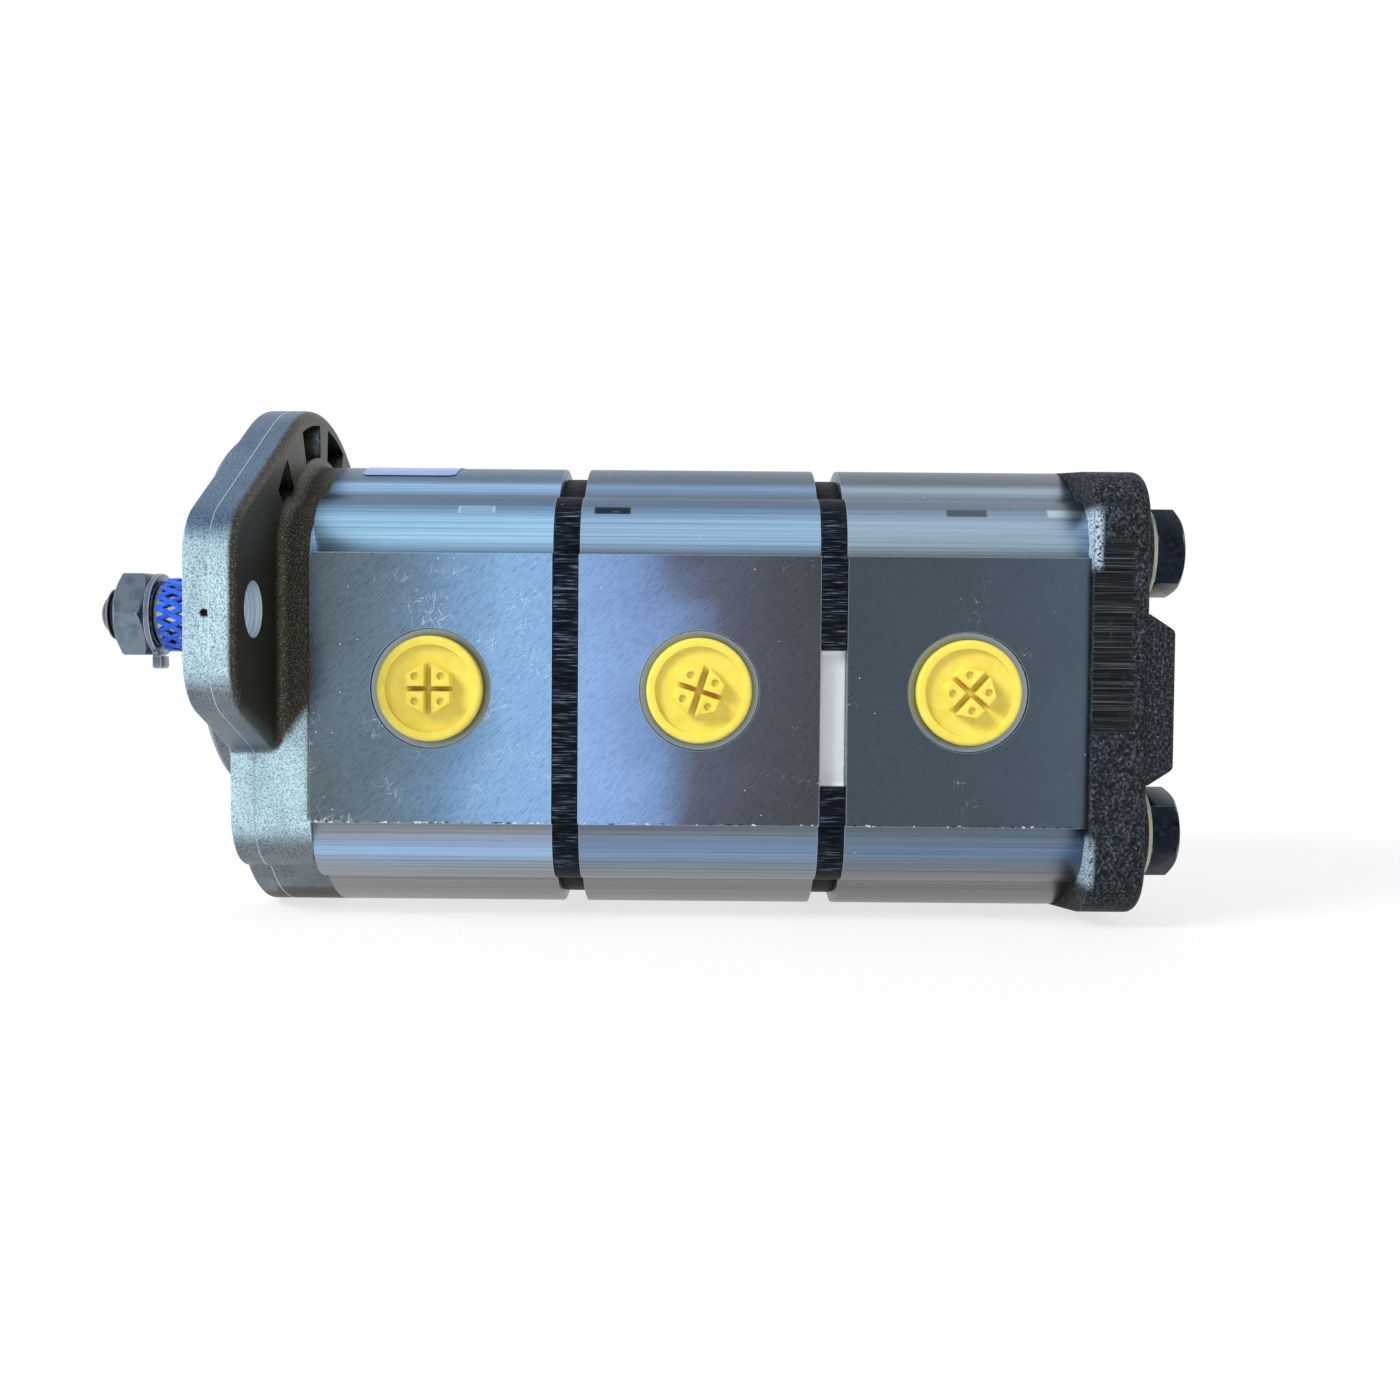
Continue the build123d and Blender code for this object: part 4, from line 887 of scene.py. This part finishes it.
# %% [markdown]
# ## The net on the taper
# A sleeve of blue plastic net keeps the ground taper from knocks. It is two families of flat strands, wound
# left and right and welded where they cross, and stretched along the shaft until its openings are narrow
# diamonds. A tube with holes in its picture would look flat from near, so each strand is real. One strand is
# a flattened ring that a Screw modifier sweeps along the shaft while it turns. Turned copies make the two
# families, and a Simple Deform modifier gives the tube the taper's slope. Last, a Displace modifier pushes
# the net out over the key, by as much as a vertex group allows at each place.

# %% The net on the taper
STRANDS = 18
STRAND_HALF_THICKNESS_MM = 0.38
STRAND_FLATNESS = 2.1
STRAND_LIFT_MM = 0.12
STRAND_STEPS = 14
NET_START_MM, NET_END_MM = -26.4, -7.0
NET_MIDDLE_RADIUS_MM = 9.8
NET_TURN = radians(62)
TAPER_SLOPE_LENGTH_MM = 156.8
net_length = (NET_END_MM - NET_START_MM) * MM


def net_strand(turned, start_degrees, lift_mm):
    """One strand, from the washer to the flange, turned about the shaft."""
    deselect_all()
    start = (NET_START_MM * MM, 0, (NET_MIDDLE_RADIUS_MM + lift_mm) * MM)
    bpy.ops.mesh.primitive_circle_add(vertices=8, radius=STRAND_HALF_THICKNESS_MM * MM, location=start,
                                      rotation=(0, pi / 2, 0))
    strand = bpy.context.object
    strand.scale = (1, STRAND_FLATNESS, 1)
    bpy.ops.object.transform_apply(location=True, rotation=True, scale=True)
    strand.rotation_euler = (radians(start_degrees), 0, 0)
    bpy.ops.object.transform_apply(location=False, rotation=True, scale=False)
    sweep = strand.modifiers.new("sweep", "SCREW")
    sweep.axis = "X"
    sweep.angle = turned
    sweep.screw_offset = net_length
    sweep.steps = STRAND_STEPS
    sweep.render_steps = STRAND_STEPS
    bpy.ops.object.modifier_apply(modifier=sweep.name)
    bpy.ops.object.mode_set(mode="EDIT")
    bpy.ops.mesh.select_all(action="SELECT")
    bpy.ops.mesh.fill_holes(sides=8)
    bpy.ops.mesh.normals_make_consistent(inside=False)
    bpy.ops.object.mode_set(mode="OBJECT")
    return strand


strands = []
for index in range(STRANDS):
    start = index * 360 / STRANDS
    strands.append(net_strand(NET_TURN, start, STRAND_LIFT_MM))
    strands.append(net_strand(-NET_TURN, start, -STRAND_LIFT_MM))
deselect_all()
for strand in strands:
    strand.select_set(True)
bpy.context.view_layer.objects.active = strands[0]
bpy.ops.object.join()
net = bpy.context.object
net.name = "taper_net"
slope = net.modifiers.new("slope", "SIMPLE_DEFORM")
slope.deform_method = "TAPER"
slope.deform_axis = "X"
slope.factor = (NET_END_MM - NET_START_MM) / TAPER_SLOPE_LENGTH_MM
bpy.ops.object.modifier_apply(modifier=slope.name)
print("strands:", len(strands))

# %% The key under the net
KEY_BULGE_MM = 1.3
BULGE_REACH = radians(45)
BULGE_FROM_MM, BULGE_TO_MM = -20, -9


def smooth_share(value, low, high):
    """0 at low and 1 at high, with a smooth step between."""
    share = min(max((value - low) / (high - low), 0), 1)
    return share * share * (3 - 2 * share)


over_key = net.vertex_groups.new(name="over_key")
for vertex in net.data.vertices:
    from_bottom = abs(atan2(vertex.co.y, -vertex.co.z))
    near_key = smooth_share(from_bottom, BULGE_REACH, 0)
    weight = near_key * smooth_share(vertex.co.x, BULGE_FROM_MM * MM, BULGE_TO_MM * MM)
    over_key.add([vertex.index], weight, "REPLACE")
bulge = net.modifiers.new("bulge", "DISPLACE")
bulge.direction = "Z"
bulge.mid_level = 0
bulge.strength = -KEY_BULGE_MM * MM
bulge.vertex_group = over_key.name
bpy.ops.object.modifier_apply(modifier=bulge.name)
bpy.ops.object.shade_smooth_by_angle(angle=radians(60))
dress(net.data, blue_net)
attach(net, "drive_line")
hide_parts("shaft_net")
radii = [(v.co.y ** 2 + v.co.z ** 2) ** 0.5 / MM for v in net.data.vertices]
print("net: radius in mm from", round(min(radii), 2), "to", round(max(radii), 2))
print("net faces:", len(net.data.polygons))

# %% [markdown]
# ## The film on the first casing
# A thin film lies on the round top of the first casing. A flat sheet could be bent to it, but a film bends
# only one way, so it is a strip of a thin tube: an open cylinder about the shaft's axis, of which only the
# faces between two angles are kept. Its two corners towards the camera are rounded, and a Solidify modifier
# makes it a sheet.

# %% The film
FILM_RADIUS_MM = 34.75
FILM_START_MM, FILM_END_MM = 22.5, 43.7
FILM_FROM, FILM_TO = radians(65), radians(115)
FILM_CORNER_MM = 1.6
FILM_THICKNESS_MM = 0.1
deselect_all()
bpy.ops.mesh.primitive_cylinder_add(vertices=72, radius=FILM_RADIUS_MM * MM, end_fill_type="NOTHING",
                                    depth=(FILM_END_MM - FILM_START_MM) * MM, rotation=(0, pi / 2, 0),
                                    location=((FILM_START_MM + FILM_END_MM) / 2 * MM, 0, 0))
film = bpy.context.object
film.name = "casing_film"
bpy.ops.object.transform_apply(location=True, rotation=True, scale=True)
bpy.ops.object.mode_set(mode="EDIT")
bpy.ops.mesh.select_all(action="DESELECT")
bpy.ops.object.mode_set(mode="OBJECT")
for face in film.data.polygons:
    face.select = not FILM_FROM < atan2(face.center.z, face.center.y) < FILM_TO
bpy.ops.object.mode_set(mode="EDIT")
bpy.ops.mesh.delete(type="FACE")
bpy.ops.object.mode_set(mode="OBJECT")
near_edge = min(v.co.y for v in film.data.vertices)
for vertex in film.data.vertices:
    vertex.select = vertex.co.y < near_edge + 0.01 * MM
bpy.ops.object.mode_set(mode="EDIT")
bpy.ops.mesh.bevel(affect="VERTICES", offset=FILM_CORNER_MM * MM, segments=5)
bpy.ops.object.mode_set(mode="OBJECT")
sheet = film.modifiers.new("sheet", "SOLIDIFY")
sheet.thickness = FILM_THICKNESS_MM * MM
sheet.offset = 0
bpy.ops.object.modifier_apply(modifier=sheet.name)
bpy.ops.object.mode_set(mode="EDIT")
bpy.ops.mesh.select_all(action="SELECT")
bpy.ops.mesh.normals_make_consistent(inside=False)
bpy.ops.object.mode_set(mode="OBJECT")
bpy.ops.object.shade_smooth_by_angle(angle=radians(30))
dress(film.data, label_film)
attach(film, "housing")
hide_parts("label")
print("film faces:", len(film.data.polygons))

# %% [markdown]
# ## The parting line of the casting
# The two halves of the sand mould meet in a plane through the flange's edge, and a thin raised line is left
# there all round, rubbed pale by handling. Drawing it point by point would only come near the casting's
# outline. So a copy of the casting is cut at that plane, the outer loop of the cut is kept, and a thin round
# section is run along it, half sunk. Where the line would stand proud of the casting's own size, it is
# trimmed flat, as a file does, a few thousandths of a millimetre below it. The pale stroke in the casting's
# finish goes on there.

# %% The parting line
PARTING_X_MM = 5.2
PARTING_RADIUS_MM = 0.14
PARTING_SINK = 0.9988
TRIM_THRESHOLD_MM = 0.001
TRIM_INSET_MM = 0.004
line = welded_copy("front_cover", "parting_line")
bpy.ops.mesh.bisect(plane_co=(PARTING_X_MM * MM, 0, 0), plane_no=(1, 0, 0), clear_inner=True,
                    clear_outer=True)
bpy.ops.mesh.select_all(action="DESELECT")
bpy.ops.object.mode_set(mode="OBJECT")
widest = max(line.data.vertices, key=lambda v: abs(v.co.y))
widest.select = True
bpy.ops.object.mode_set(mode="EDIT")
bpy.ops.mesh.select_linked()
bpy.ops.mesh.select_all(action="INVERT")
bpy.ops.mesh.delete(type="VERT")
bpy.ops.object.mode_set(mode="OBJECT")
line.scale = (1, PARTING_SINK, PARTING_SINK)
bpy.ops.object.transform_apply(location=False, rotation=False, scale=True)
bpy.ops.object.convert(target="CURVE")
line = bpy.context.object
line.data.bevel_depth = PARTING_RADIUS_MM * MM
line.data.bevel_resolution = 1
bpy.ops.object.convert(target="MESH")
line = bpy.context.object
bpy.ops.object.mode_set(mode="EDIT")
for corner, outwards in zip(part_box("front_cover"), (-1, 1)):
    corner = corner - Vector((0, outwards, outwards)) * TRIM_INSET_MM * MM
    for facing in ((0, outwards, 0), (0, 0, outwards)):
        bpy.ops.mesh.select_all(action="SELECT")
        bpy.ops.mesh.bisect(plane_co=corner, plane_no=facing, use_fill=True, clear_outer=True,
                            threshold=TRIM_THRESHOLD_MM * MM)
bpy.ops.object.mode_set(mode="OBJECT")
rubbed_ridge = brushed_metal("rubbed_aluminium", "#7c8f9d", "#bccfdd", "#d5e2ea", 0.4, (0.8, 0.8, 0.8))
dress(line.data, rubbed_ridge)
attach(line, "housing")
print("parting line faces:", len(line.data.polygons))
